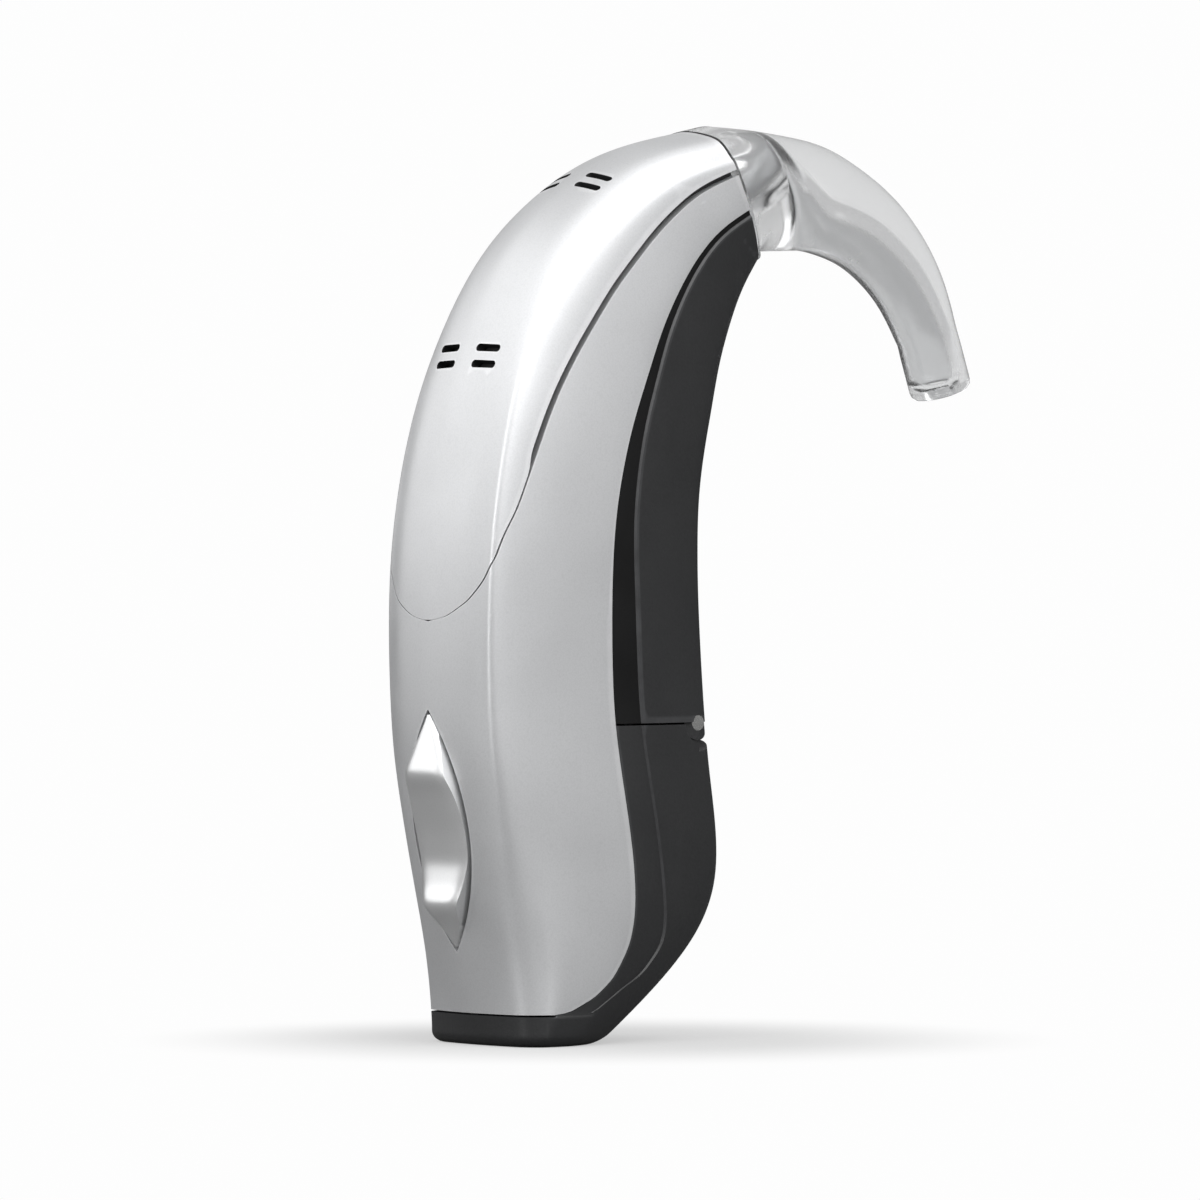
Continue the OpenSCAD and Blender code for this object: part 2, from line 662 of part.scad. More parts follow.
module front_microphone_sleeve() {
    microphone_sleeve(mic_along_share[1]);
}
// Dust screens: two fine discs, one in each port
module microphone_screens() {
    color("gray")
        for (t = mic_along_share)
            mic_place(t)
                translate([0, 0, recess_t + 2 * seat_gap])
                    cylinder(d = port_d - seat_gap, h = screen_t, $fn = round_fn);
}

// Hook end of the case: its middle, and the direction in which the nozzle points
end_row = station(1);
end_mid = (end_row[0] + end_row[1]) / 2;
end_in = unit(end_row[1] - end_row[0]);
nozzle_dir = [-end_in[1], end_in[0]];
flange_t = 1;

// Hook nozzle: a flange that closes the end of the case, and the spout that the hook turns on
module hook_nozzle() {
    ring = [for (k = [0 : 31]) let (u = k < 16 ? -k / 16 : 2 - k / 16)
        on_case(1, u, wall_t + 3 * seat_gap)];
    back = [nozzle_dir[0], 0, nozzle_dir[1]] * flange_t;
    color([0.85, 0.86, 0.86])
        difference() {
            union() {
                loft([[for (p = ring) p - back], ring]);
                aim(end_mid - nozzle_dir * flange_t / 2, nozzle_dir)
                    cylinder(d = nozzle_d, h = nozzle_l + flange_t / 2, $fn = round_fn);
            }
            aim(end_mid - nozzle_dir * (flange_t + cut_run), nozzle_dir)
                cylinder(d = sound_bore_d, h = nozzle_l + flange_t + 2 * cut_run, $fn = round_fn);
        }
}

// Sound tube from the receiver to the nozzle, one arc
tube_d = 2;
tube_bore_d = 1.1;
tube_bend = 45;
tube_r = 7;
tube_start_dir = [cos(nozzle_angle() + tube_bend), sin(nozzle_angle() + tube_bend)];
function nozzle_angle() = atan2(nozzle_dir[1], nozzle_dir[0]);
tube_end = end_mid - nozzle_dir * (flange_t + seat_gap);
tube_mid = tube_end + [nozzle_dir[1], -nozzle_dir[0]] * tube_r;
tube_start = tube_mid + [-tube_start_dir[1], tube_start_dir[0]] * tube_r;
module sound_tube() {
    color([0.9, 0.9, 0.88, 0.8])
        translate([tube_mid[0], 0, tube_mid[1]])
            rotate([90, 0, 0])
                rotate([0, 0, nozzle_angle() + 90])
                    rotate_extrude(angle = tube_bend, $fn = round_fn)
                        translate([tube_r, 0])
                            difference() {
                                circle(d = tube_d, $fn = round_fn);
                                circle(d = tube_bore_d, $fn = round_fn);
                            }
}

// Receiver: the loudspeaker, in a soft boot, pointing into the sound tube
receiver_l = 6.3;
receiver_w = 4.1;
receiver_t = 2.9;
boot_t = 0.4;
snout_d = 0.9;
snout_l = 0.9;
function boot_size() = [receiver_w + 2 * boot_t, receiver_t + 2 * boot_t, receiver_l + boot_t + seat_gap];
receiver_front = tube_start - tube_start_dir * (boot_t + 2 * seat_gap);
module boot_place() {
    aim(receiver_front - tube_start_dir * boot_size()[2] / 2 + tube_start_dir * (boot_t + seat_gap),
        tube_start_dir) children();
}
// Height of the boot's lower end on the axis
function boot_low() = (receiver_front - tube_start_dir * (boot_size()[2] - boot_t))[1];
module receiver() {
    color("silver")
        aim(receiver_front, tube_start_dir)
            difference() {
                union() {
                    translate([-receiver_w / 2, -receiver_t / 2, -receiver_l])
                        cube([receiver_w, receiver_t, receiver_l]);
                    cylinder(d = snout_d, h = snout_l + boot_t, $fn = round_fn);
                }
                cylinder(d = snout_d / 2, h = snout_l + boot_t + cut_run, $fn = round_fn);
            }
}
module receiver_boot() {
    size = boot_size();
    color([0.25, 0.25, 0.28])
        difference() {
            boot_place() cube(size, center = true);
            aim(receiver_front, tube_start_dir) {
                translate([-receiver_w / 2 - seat_gap / 2, -receiver_t / 2 - seat_gap / 2, -size[2] - cut_run])
                    cube([receiver_w + seat_gap, receiver_t + seat_gap, size[2] + cut_run + seat_gap / 2]);
                cylinder(d = snout_d + seat_gap, h = size[2], $fn = round_fn);
            }
        }
}

// Circuit board on the frame's near side, with its chip, small parts and the telecoil
board_back_room = 2.6;
board_lift = 1.6;
board_head_room = 4.1;
circuit_size = [7, 0.35, boot_low() - board_head_room - hinge_z - board_lift];
chip_size = [4, 0.8, 4];
circuit_at = [on_case(0.5, 0)[0] + wall_t + board_back_room, frame_y - frame_t / 2 - circuit_size[1],
    hinge_z + board_lift];
chip_inset = [1.2, 0.6];
module circuit_board() {
    color([0.1, 0.35, 0.2])
        translate(circuit_at) cube(circuit_size);
}
module processor_chip() {
    color([0.08, 0.08, 0.08])
        translate(circuit_at + [chip_inset[0], -chip_size[1], chip_inset[1]])
            cube(chip_size);
}
small_part = [1.2, 0.5, 0.6];
small_inset = [0.5, 5.4];
small_pitch = [1.65, 1];
module board_components() {
    color("tan")
        for (column = [0 : 3])
            for (row = [0 : 1])
                translate(circuit_at + [small_inset[0] + column * small_pitch[0], -small_part[1],
                    small_inset[1] + row * small_pitch[1]])
                    cube(small_part);
}
coil_d = 1.8;
coil_l = 6.5;
coil_flange_t = 0.4;
coil_lift = 1;
module telecoil() {
    color("chocolate")
        translate([circuit_at[0] + circuit_size[0] - coil_d, frame_y + frame_t / 2 + coil_d / 2,
            circuit_at[2] + coil_lift]) {
            cylinder(d = 0.75 * coil_d, h = coil_l, $fn = round_fn);
            for (z = [0, coil_l - coil_flange_t])
                translate([0, 0, z]) cylinder(d = coil_d, h = coil_flange_t, $fn = round_fn);
        }
}

// Ear hook: clear tube that starts with the case's outline and narrows to a round end
// Places along the hook as shares of its reach, its drop and the base's half depth
hook_share = [
    [0.000, 0.000, 1.000], [0.145, 0.040, 0.872], [0.290, 0.036, 0.812], [0.420, 0.014, 0.765],
    [0.545, -0.060, 0.700], [0.695, -0.205, 0.625], [0.830, -0.430, 0.555], [0.927, -0.690, 0.495],
    [1.000, -1.000, 0.435]
];
hook_rows = 20;
hook_sides = 24;
base_gap = 0.06;
hook_blend_share = 0.22;
base_half = norm(end_row[1] - end_row[0]) / 2;
hook_tip_tilt = 18.5;
hook_tip_dir = [sin(hook_tip_tilt), -cos(hook_tip_tilt)];
hook_start = end_mid + nozzle_dir * base_gap;
function hook_at(t) =
    let (r = curve(hook_share, t))
    hook_start + [r[0] * hook_reach, r[1] * hook_drop];
function hook_dir(t) =
    t <= 0 ? nozzle_dir : t >= 1 ? hook_tip_dir
    : unit(hook_at(clamped(t + probe_share)) - hook_at(clamped(t - probe_share)));
function hook_r(t) = curve(hook_share, t)[2] * base_half;
hook_tip_start = hook_at(1);
hook_tip_end = hook_tip_start + hook_tip_dir * hook_tip_l;
// A ring of places round the hook, with the case's outline at its base
function hook_ring(t, r, sides, keep_round = false) =
    let (c = hook_at(t), d = hook_dir(t), n = [-d[1], d[0]], f = clamped(1 - t / hook_blend_share))
    [for (k = [0 : sides - 1])
        let (a = 360 * k / sides, q = [c[0] + n[0] * r * cos(a), -r * sin(a), c[1] + n[1] * r * cos(a)])
        let (b = base_place(a))
        keep_round || f == 0 ? q : mix(q, q + b, f * f)];
// How far the case's outline lies from a round base, at one angle
function base_place(a) =
    let (u = a < 180 ? -a / 180 : 2 - a / 180, p = on_case(1, u))
    let (n = [-nozzle_dir[1], nozzle_dir[0]])
    [p[0] - end_mid[0] - n[0] * base_half * cos(a), p[1] + base_half * sin(a),
        p[2] - end_mid[1] - n[1] * base_half * cos(a)];
module ear_hook() {
    color([0.85, 0.88, 0.9, 0.45])
        difference() {
            union() {
                loft([for (k = [0 : hook_rows]) hook_ring(k / hook_rows, hook_r(k / hook_rows), hook_sides)]);
                aim(hook_tip_start - hook_tip_dir * seat_gap, hook_tip_dir)
                    cylinder(d = hook_tip_d, h = hook_tip_l + seat_gap, $fn = round_fn);
            }
            aim(hook_start - nozzle_dir * cut_run, nozzle_dir)
                cylinder(d = nozzle_d + 2 * nozzle_clearance, h = nozzle_l + cut_run + base_gap, $fn = round_fn);
            loft([for (k = [hook_bore_row : hook_rows])
                hook_ring(k / hook_rows, sound_bore_d / 2, 12, true)]);
            aim(hook_tip_start - hook_tip_dir * seat_gap, hook_tip_dir)
                cylinder(d = sound_bore_d, h = hook_tip_l + cut_run, $fn = round_fn);
        }
}
nozzle_clearance = 0.05;
hook_bore_row = 3;

main_housing();
microphone_cover();
belly_shell();
battery_door();
door_hinge_pin();
battery_cell();
battery_contact_positive();
battery_contact_negative();
programming_pads();
ear_hook();
hook_nozzle();
volume_rocker();
rocker_pin();
rocker_bracket();
rocker_switch_board();
dome_switches();
front_microphone();
rear_microphone();
front_microphone_sleeve();
rear_microphone_sleeve();
microphone_screens();
receiver();
receiver_boot();
sound_tube();
telecoil();
circuit_board();
processor_chip();
board_components();
electronics_frame();
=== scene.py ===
# %% [markdown]
# # A behind-the-ear hearing aid, dressed for the studio
# The working model of this aid is already packed: its pieces, pins and joints are fixed. Here it gets
# its looks. The silver and black shells are laid again as fine smooth sheets over the same form,
# everything else keeps its solid and gets a finish.

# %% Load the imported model
import math
import bmesh
import bpy
import numpy as np
from mathutils import Matrix, Vector


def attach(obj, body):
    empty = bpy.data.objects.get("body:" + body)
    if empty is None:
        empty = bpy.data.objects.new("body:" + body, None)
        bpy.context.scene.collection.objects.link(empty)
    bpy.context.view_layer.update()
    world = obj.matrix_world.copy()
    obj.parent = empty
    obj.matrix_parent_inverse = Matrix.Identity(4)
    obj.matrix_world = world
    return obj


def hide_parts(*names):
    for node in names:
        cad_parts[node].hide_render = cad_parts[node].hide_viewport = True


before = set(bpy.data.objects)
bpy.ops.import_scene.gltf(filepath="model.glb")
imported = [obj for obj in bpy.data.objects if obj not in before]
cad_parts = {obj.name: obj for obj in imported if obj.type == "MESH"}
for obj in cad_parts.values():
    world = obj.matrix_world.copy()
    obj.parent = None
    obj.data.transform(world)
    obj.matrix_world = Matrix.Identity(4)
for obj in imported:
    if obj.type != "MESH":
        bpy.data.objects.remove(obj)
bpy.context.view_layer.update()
MM = 0.001

# %% [markdown]
# Two helpers are used all through. One puts an object in the scene, the other makes a mesh.

# %% Scene helpers
def in_scene(name, data):
    made = bpy.data.objects.new(name, data)
    bpy.context.scene.collection.objects.link(made)
    return made


def mesh_of(name, bm):
    """A smooth-shaded mesh from a bmesh, which is used up."""
    mesh = bpy.data.meshes.new(name)
    bm.to_mesh(mesh)
    bm.free()
    for face in mesh.polygons:
        face.use_smooth = True
    return mesh


print("scene helpers ready")

# %% [markdown]
# ## Camera
# The photograph is taken with a long lens, a little round to the spine side: the aid is turned 37
# degrees, and the camera looks along the table. A real lens of 300 mm half a metre away keeps the
# edges as parallel as they are there. The frame is square, so its width is also its height.

# %% Camera
view_turn, view_tilt = -37, 0.6  # degrees
frame_w = 59.35 * MM
lens_mm, sensor_mm = 300, 36
aim_at = Vector((5.23, 0, 21.76)) * MM
camera_far = frame_w * lens_mm / sensor_mm


def stand_off(made, azimuth, elevation, far):
    """Stands a camera or lamp away from the aim, at an azimuth from the near side, and faces the aim."""
    a, e = math.radians(azimuth), math.radians(elevation)
    away = Vector((math.sin(a) * math.cos(e), -math.cos(a) * math.cos(e), math.sin(e)))
    made.location = aim_at + away * far
    made.rotation_euler = (-away).to_track_quat("-Z", "Y").to_euler()


camera = in_scene("camera", bpy.data.cameras.new("camera"))
camera.data.lens, camera.data.sensor_width = lens_mm, sensor_mm
camera.data.clip_start, camera.data.clip_end = 0.01, 10  # metres
stand_off(camera, view_turn, view_tilt, camera_far)
bpy.context.scene.camera = camera
print("camera stands", round(camera_far, 3), "m away")

# %% [markdown]
# ## Helpers for materials
# A node tree is easier to read when each node takes one line, so a small helper makes a node, sets
# its values and plugs in its inputs. The others start a material with its Principled shader, make a
# grey, give the coordinates that stay with a piece when it moves, and mix two shaders.

# %% Node helpers
def add(tree, kind, values=None, plugs=None, **settings):
    made = tree.nodes.new(kind)
    for key, value in settings.items():
        setattr(made, key, value)
    for key, value in (values or {}).items():
        made.inputs[key].default_value = value
    for key, source in (plugs or {}).items():
        tree.links.new(source, made.inputs[key])
    return made


def new_material(name, values):
    made = bpy.data.materials.new(name)
    made.use_nodes = True
    shader = made.node_tree.nodes["Principled BSDF"]
    for key, value in values.items():
        shader.inputs[key].default_value = value
    return made, made.node_tree, shader


def colour(grey):
    return (grey, grey, grey, 1)


def on_piece(tree):
    return add(tree, "ShaderNodeTexCoord").outputs["Object"]


def shader_mix(tree, share, first, second):
    return add(tree, "ShaderNodeMixShader", plugs={"Fac": share.outputs[0], 1: first.outputs[0],
                                                   2: second.outputs[0]})


print("node helpers ready")

# %% [markdown]
# ## Floor, backdrop and light
# The aid stands on a white sheet that rises behind it. A white picture ground must not come from more
# light on the object, so to the camera the sheet glows a plain white. Round the foot that white gives
# way by half to a real grey paper, which takes the soft shadow. To all other rays it is dark paper.

# %% Floor and backdrop
floor_half, sheet_bend, sheet_back = 1.0, 0.12, 0.8  # metres
sheet_rise = 3.0  # how many times higher the upright part stands than its strip of the grid is long
sheet_white = 0.985
paper_grey, shadow_grey = 0.16, 0.36
shadow_middle = Vector((5, 0, 0)) * MM
shadow_near, shadow_far = 8 * MM, 24 * MM
shadow_fade = 0.50


def backdrop():
    bm = bmesh.new()
    bmesh.ops.create_grid(bm, x_segments=1, y_segments=40, size=floor_half)
    for v in bm.verts:
        run = v.co.y + floor_half
        flat = floor_half + sheet_back
        turn = min(max(run - flat, 0) / sheet_bend, math.pi / 2)
        rise = max(run - flat - sheet_bend * math.pi / 2, 0)
        v.co = Vector((2 * v.co.x, min(run, flat) - floor_half + sheet_bend * math.sin(turn),
                       sheet_bend * (1 - math.cos(turn)) + sheet_rise * rise))
    turned = Matrix.Rotation(math.radians(view_turn), 3, "Z")
    bmesh.ops.rotate(bm, verts=bm.verts, cent=(0, 0, 0), matrix=turned)
    return in_scene("backdrop", mesh_of("backdrop", bm))


def backdrop_material():
    made, tree, shader = new_material("white_sheet", {})
    tree.nodes.remove(shader)
    paper = add(tree, "ShaderNodeBsdfDiffuse", {"Color": colour(paper_grey)})
    shaded = add(tree, "ShaderNodeBsdfDiffuse", {"Color": colour(shadow_grey)})
    lit = add(tree, "ShaderNodeEmission", {"Color": colour(1.0), "Strength": sheet_white})
    path = add(tree, "ShaderNodeLightPath").outputs
    seen = add(tree, "ShaderNodeMath", plugs={0: path["Is Camera Ray"], 1: path["Is Transmission Ray"]},
               operation="MAXIMUM")
    from_foot = add(tree, "ShaderNodeVectorMath", {1: tuple(shadow_middle)}, {0: on_piece(tree)},
                    operation="DISTANCE")
    far = add(tree, "ShaderNodeMapRange", {"From Min": shadow_near, "From Max": shadow_far,
                                           "To Min": shadow_fade, "To Max": 1.0},
              {"Value": from_foot.outputs["Value"]}, interpolation_type="SMOOTHSTEP")
    shown = shader_mix(tree, seen, paper, shader_mix(tree, far, shaded, lit))
    tree.links.new(shown.outputs[0], tree.nodes["Material Output"].inputs["Surface"])
    return made


sheet = backdrop()
sheet.data.materials.append(backdrop_material())
print("backdrop laid")

# %% [markdown]
# ### Lamps and world
# Satin silver shows the lamps as soft bands, so each lamp is a large square of light that makes one
# band: the key and the top lamp on the cover, the back lamp along the spine and on the volume key, a
# narrow upright band on the shoulder, and the front lamp on the side. The world is grey to the
# silver, white to the camera, and nearly white through the clear hook.

# %% Lamps and world
# Azimuth from the near side and elevation in degrees, distance, width, height in metres, power in watts
lamps = {
    "key": (-62, 40, 0.26, 0.32, 0.32, 0.30),
    "back": (-138, 27, 0.24, 0.24, 0.24, 0.25),
    "band": (-78, 8, 0.34, 0.07, 0.34, 0.42),
    "top": (-15, 72, 0.22, 0.34, 0.34, 0.36),
    "front": (8, 36, 0.28, 0.28, 0.28, 0.72),
}
world_grey, seen_through = 0.36, 0.6

for name, (azimuth, elevation, far, width, height, watts) in lamps.items():
    data = bpy.data.lights.new(name, "AREA")
    data.shape = "RECTANGLE"
    data.size, data.size_y, data.energy = width, height, watts
    stand_off(in_scene(name, data), azimuth, elevation, far)

world = bpy.data.worlds.new("studio")
bpy.context.scene.world = world
world.use_nodes = True
tree = world.node_tree
grey = tree.nodes["Background"]
grey.inputs["Color"].default_value = colour(world_grey)
white = add(tree, "ShaderNodeBackground", {"Color": colour(1.0), "Strength": sheet_white})
path = add(tree, "ShaderNodeLightPath").outputs
white_share = add(tree, "ShaderNodeMath", {1: seen_through},
                  {0: path["Is Transmission Ray"], 2: path["Is Camera Ray"]}, operation="MULTIPLY_ADD")
tree.links.new(shader_mix(tree, white_share, grey, white).outputs[0],
               tree.nodes["World Output"].inputs["Surface"])
bpy.context.scene.view_settings.view_transform = "Standard"
print("lamps:", list(lamps), "in a world of grey", world_grey)

# %% [markdown]
# ## The form of the case
# The case is a row of cross sections, each from the spine, which faces away from the ear, to the
# belly. A place on it is named by two numbers: t runs along the body from the foot to the hook, and u
# runs round it, 0 at the spine and 1 at the middle of the belly. Every shell is a patch of that one
# form, so the parting lines meet by themselves. A spline with an even curvature runs through the
# rows, because a satin surface shows every kink in its highlights.

# %% Driving sizes and rows
case_h, case_d, case_w = 45.0, 14.6, 9.3
wall_t = 0.85
parting_gap = 0.1
cap_h = 1.5
foot_r = 0.55
cover_t = 0.5
groove_w = 0.35
hinge_z = 15.7

# Spine X and Z, belly X and Z, width, shoulder depth, in shares of the depth, height and width
station_share = [
    [0.171, 0.000, 0.555, 0.000, 0.968, 0.120],
    [0.158, 0.036, 0.705, 0.036, 0.989, 0.165],
    [0.120, 0.102, 0.938, 0.102, 1.000, 0.215],
    [0.068, 0.184, 1.068, 0.184, 1.000, 0.205],
    [0.020, 0.284, 1.048, 0.284, 1.000, 0.165],
    [0.000, 0.369, 1.020, 0.369, 0.989, 0.140],
    [0.000, 0.462, 1.000, 0.462, 0.989, 0.125],
    [0.014, 0.542, 0.993, 0.531, 0.989, 0.120],
    [0.048, 0.620, 1.000, 0.593, 0.978, 0.120],
    [0.100, 0.696, 1.027, 0.647, 0.957, 0.130],
    [0.168, 0.762, 1.062, 0.693, 0.925, 0.145],
    [0.257, 0.824, 1.096, 0.736, 0.892, 0.165],
    [0.384, 0.884, 1.137, 0.773, 0.849, 0.190],
    [0.568, 0.938, 1.185, 0.807, 0.796, 0.215],
    [0.795, 0.978, 1.233, 0.833, 0.742, 0.235],
    [1.075, 1.000, 1.284, 0.856, 0.688, 0.240],
]
# Round the section: share of the shoulder depth, share of the whole depth, share of half the width
section_share = [
    [0, 0, 0], [0.06, 0, 0.30], [0.20, 0, 0.60], [0.48, 0, 0.84], [1, 0, 0.955],
    [0, 0.28, 1], [0, 0.53, 0.985], [0, 0.66, 0.945], [0, 0.80, 0.87], [0, 0.93, 0.775],
    [0, 0.98, 0.68], [0, 1, 0.45], [0, 1, 0],
]
foot_x = case_d * (station_share[0][0] + station_share[0][2]) / 2
# A shoulder deeper than this share of the depth would fold the side over itself at the hook end. The
# shoulder turns into that limit softly, and a higher number turns it more sharply.
shoulder_most, shoulder_turn = 0.21, 8
t_step = 0.005  # a short way along a line, to find its direction
print("case", case_h, "mm tall,", case_d, "mm deep,", case_w, "mm wide")


# %% Smooth rows
def bend_of(rows, closed):
    """How strongly an even curve bends at each of its rows."""
    n = len(rows)
    matrix = 4 * np.eye(n) + np.eye(n, k=1) + np.eye(n, k=-1)
    pull = 6 * (np.roll(rows, 1, 0) - 2 * rows + np.roll(rows, -1, 0))
    if closed:
        matrix[0, -1] = matrix[-1, 0] = 1
    else:
        matrix[0, :2], matrix[-1, -2:] = (1, 0), (0, 1)
        pull[0] = pull[-1] = 0
    return np.linalg.solve(matrix, pull)


def even_curve(rows, closed=False):
    rows = np.array(rows, float)
    bend = bend_of(rows, closed)
    n = len(rows)

    def read(x):
        x = np.asarray(x, float)
        i = np.floor(x).astype(int) if closed else np.clip(np.floor(x).astype(int), 0, n - 2)
        f = (x - i)[..., None]
        g = 1 - f
        a, b = i % n, (i + 1) % n
        return g * rows[a] + f * rows[b] + ((g**3 - g) * bend[a] + (f**3 - f) * bend[b]) / 6

    return read


along_curve = even_curve(station_share)
half = len(section_share) - 1
round_rows = section_share + [[a, b, -c] for a, b, c in section_share[-2:0:-1]]
round_curve = even_curve(round_rows, closed=True)


def station(t):
    """Spine, belly, width and shoulder depth at a place along the body, in millimetres."""
    r = along_curve(np.asarray(t, float) * (len(station_share) - 1))
    spine = np.stack([r[..., 0] * case_d - foot_x, r[..., 1] * case_h], -1)
    belly = np.stack([r[..., 2] * case_d - foot_x, r[..., 3] * case_h], -1)
    most = shoulder_most * np.linalg.norm(belly - spine, axis=-1)
    shoulder = ((r[..., 5] * case_w)**-shoulder_turn + most**-shoulder_turn)**(-1 / shoulder_turn)
    return spine, belly, r[..., 4] * case_w, shoulder


def on_case(t, u, sunk=0.0):
    """Places on the case in millimetres; a positive u is the far side."""
    t, u = np.broadcast_arrays(np.asarray(t, float), np.asarray(u, float))
    spine, belly, width, shoulder = station(t)
    depth = np.linalg.norm(belly - spine, axis=-1)
    inward = (belly - spine) / depth[..., None]
    r = round_curve(u * half)
    a = sunk + (r[..., 0] * shoulder + r[..., 1] * depth) * (1 - 2 * sunk / depth)
    y = r[..., 2] * width / 2 * (1 - 2 * sunk / width)
    return np.stack([spine[..., 0] + inward[..., 0] * a, y, spine[..., 1] + inward[..., 1] * a], -1)


def along_at(z):
    """The t at which the spine reaches a height, in the lower half of the rows."""
    tries = np.linspace(0, 0.5, 2001)
    return float(np.interp(z, station(tries)[0][:, 1], tries))


foot, crown = on_case(0, 0), on_case(1, 0)
print("spine runs from", foot.round(2), "to", crown.round(2), "mm")

# %% [markdown]
# ### Parting lines
# The silver shell ends on the sides along one line, and the microphone cover lies inside a seam
# shaped like a long U. Both lines are a few chosen places, joined and then averaged over a short
# window, which rounds their corners without pulling them away from the places.

# %% Parting lines
edge_share = [
    [0.060, 0.400], [0.066, 0.400], [0.068, 0.432], [0.071, 0.450], [0.087, 0.490], [0.108, 0.520],
    [0.140, 0.530], [0.200, 0.515], [0.333, 0.502], [0.500, 0.507], [0.600, 0.520], [0.700, 0.540],
    [0.800, 0.550], [0.900, 0.548], [1.000, 0.535],
]
seam_share = [
    [0.400, 0.000], [0.404, 0.090], [0.417, 0.175], [0.438, 0.250], [0.458, 0.315], [0.504, 0.360],
    [0.558, 0.380], [0.621, 0.395], [0.675, 0.410], [0.725, 0.425], [0.817, 0.445], [0.900, 0.450],
    [1.000, 0.440],
]
seam_start = seam_share[0][0]
groove_low_t, groove_high_t = 0.540, 0.560
edge_corner_t, edge_window, edge_window_most = 0.065, 0.3, 0.06
tongue_t, tongue_run, tongue_window, seam_window = 0.45, 0.1, 0.006, 0.04
average_of = 13


def smooth_read(rows, t, window):
    """Read a line of places, averaged over a window round t."""
    rows = np.array(rows)
    t = np.asarray(t, float)
    inner = np.minimum(window, np.minimum(t - rows[0, 0], rows[-1, 0] - t).clip(0))
    shifts = np.linspace(-1, 1, average_of)
    weights = [1 + math.cos(math.pi * shift) for shift in shifts]
    reads = [np.interp(t + shift * inner, rows[:, 0], rows[:, 1]) * weight
             for shift, weight in zip(shifts, weights)]
    return sum(reads) / sum(weights)


def edge_at(t):
    window = np.clip(edge_window * (np.asarray(t) - edge_corner_t), 0, edge_window_most)
    return smooth_read(edge_share, t, window)


def seam_at(t):
    """The seam, with a narrow window at the cover's tongue and a wide one beside the groove."""
    past_tongue = np.clip((np.asarray(t) - tongue_t) / tongue_run, 0, 1)
    return smooth_read(seam_share, t, tongue_window + seam_window * past_tongue)


def round_by(t, u, length):
    """The step in u that goes a length round the case."""
    probe = 0.004
    gap = on_case(t, u + probe) - on_case(t, u - probe)
    return length * 2 * probe / np.linalg.norm(gap, axis=-1)


def groove_at(t):
    opened = np.clip((np.asarray(t) - groove_low_t) / (groove_high_t - groove_low_t), 0, 1)
    return parting_gap + (groove_w - parting_gap) * opened


print("the seam meets the hook end at u =", float(seam_at(1.0).round(3)))

# %% [markdown]
# ### Making a shell
# A shell starts as a flat bmesh grid. Its vertices are then laid on the case: each row of the grid
# gets a t and each column a place u round the case. One half is laid and then mirrored, so both sides
# are alike. The sheet gets its wall inwards, and a narrow bevel along the edges catches the light as a
# moulded edge does. Cuts are booleans with a solid that reaches through.

# %% Shell helpers
row_step = 1000  # a vertex's index tells its row and column in the grid: row * row_step + column
middle = Vector((0.3 * foot_x, 0, 0.45 * case_h)) * MM


def laid_sheet(t_rows, u, sunk):
    """A bmesh of the far half of a patch, from a table of u and one of depth, a row for each t."""
    columns = u.shape[1] - 1
    bm = bmesh.new()
    bmesh.ops.create_grid(bm, x_segments=columns, y_segments=len(t_rows) - 1, size=0.5)
    share = np.array([v.co for v in bm.verts]) + 0.5
    i = np.rint(share[:, 1] * (len(t_rows) - 1)).astype(int)
    j = np.rint(share[:, 0] * columns).astype(int)
    places = on_case(t_rows[i], u[i, j], sunk[i, j]) * MM
    for v, place, row, column in zip(bm.verts, places, i, j):
        v.co = place
        v.index = int(row) * row_step + int(column)
    return bm


def grid_sheet(t_rows, low, high, columns, sunk=0.0):
    """Both halves of a patch with even columns from the low to the high line, all at one depth."""
    u = low[:, None] + (high - low)[:, None] * np.linspace(0, 1, columns + 1)
    bm = laid_sheet(t_rows, u, np.full_like(u, sunk))
    mirror_y(bm)
    return bm


def mirror_y(bm):
    weld = 0.001 * MM
    for v in bm.verts:
        if abs(v.co.y) < 2 * weld:
            v.co.y = 0
    bmesh.ops.mirror(bm, geom=bm.verts[:] + bm.edges[:] + bm.faces[:], axis="Y", merge_dist=weld)
    bmesh.ops.remove_doubles(bm, verts=bm.verts, dist=weld / 2)


def walled(bm, thickness):
    """Turns an open sheet away from the middle of the case and gives it its wall on the inside."""
    bmesh.ops.recalc_face_normals(bm, faces=bm.faces)
    bm.normal_update()
    lean = sum(f.normal.dot(f.calc_center_median() - middle) * f.calc_area() for f in bm.faces)
    if lean < 0:
        bmesh.ops.reverse_faces(bm, faces=bm.faces)
    bm.normal_update()
    bmesh.ops.solidify(bm, geom=bm.faces[:], thickness=thickness * MM)
    bmesh.ops.recalc_face_normals(bm, faces=bm.faces)


def pulled_solid(bm, step):
    """Pulls a flat face along a step, so that it becomes a solid."""
    pulled = bmesh.ops.extrude_face_region(bm, geom=bm.faces[:])
    moved = [g for g in pulled["geom"] if isinstance(g, bmesh.types.BMVert)]
    bmesh.ops.translate(bm, verts=moved, vec=Vector(step) * MM)
    bmesh.ops.recalc_face_normals(bm, faces=bm.faces)
    return bm


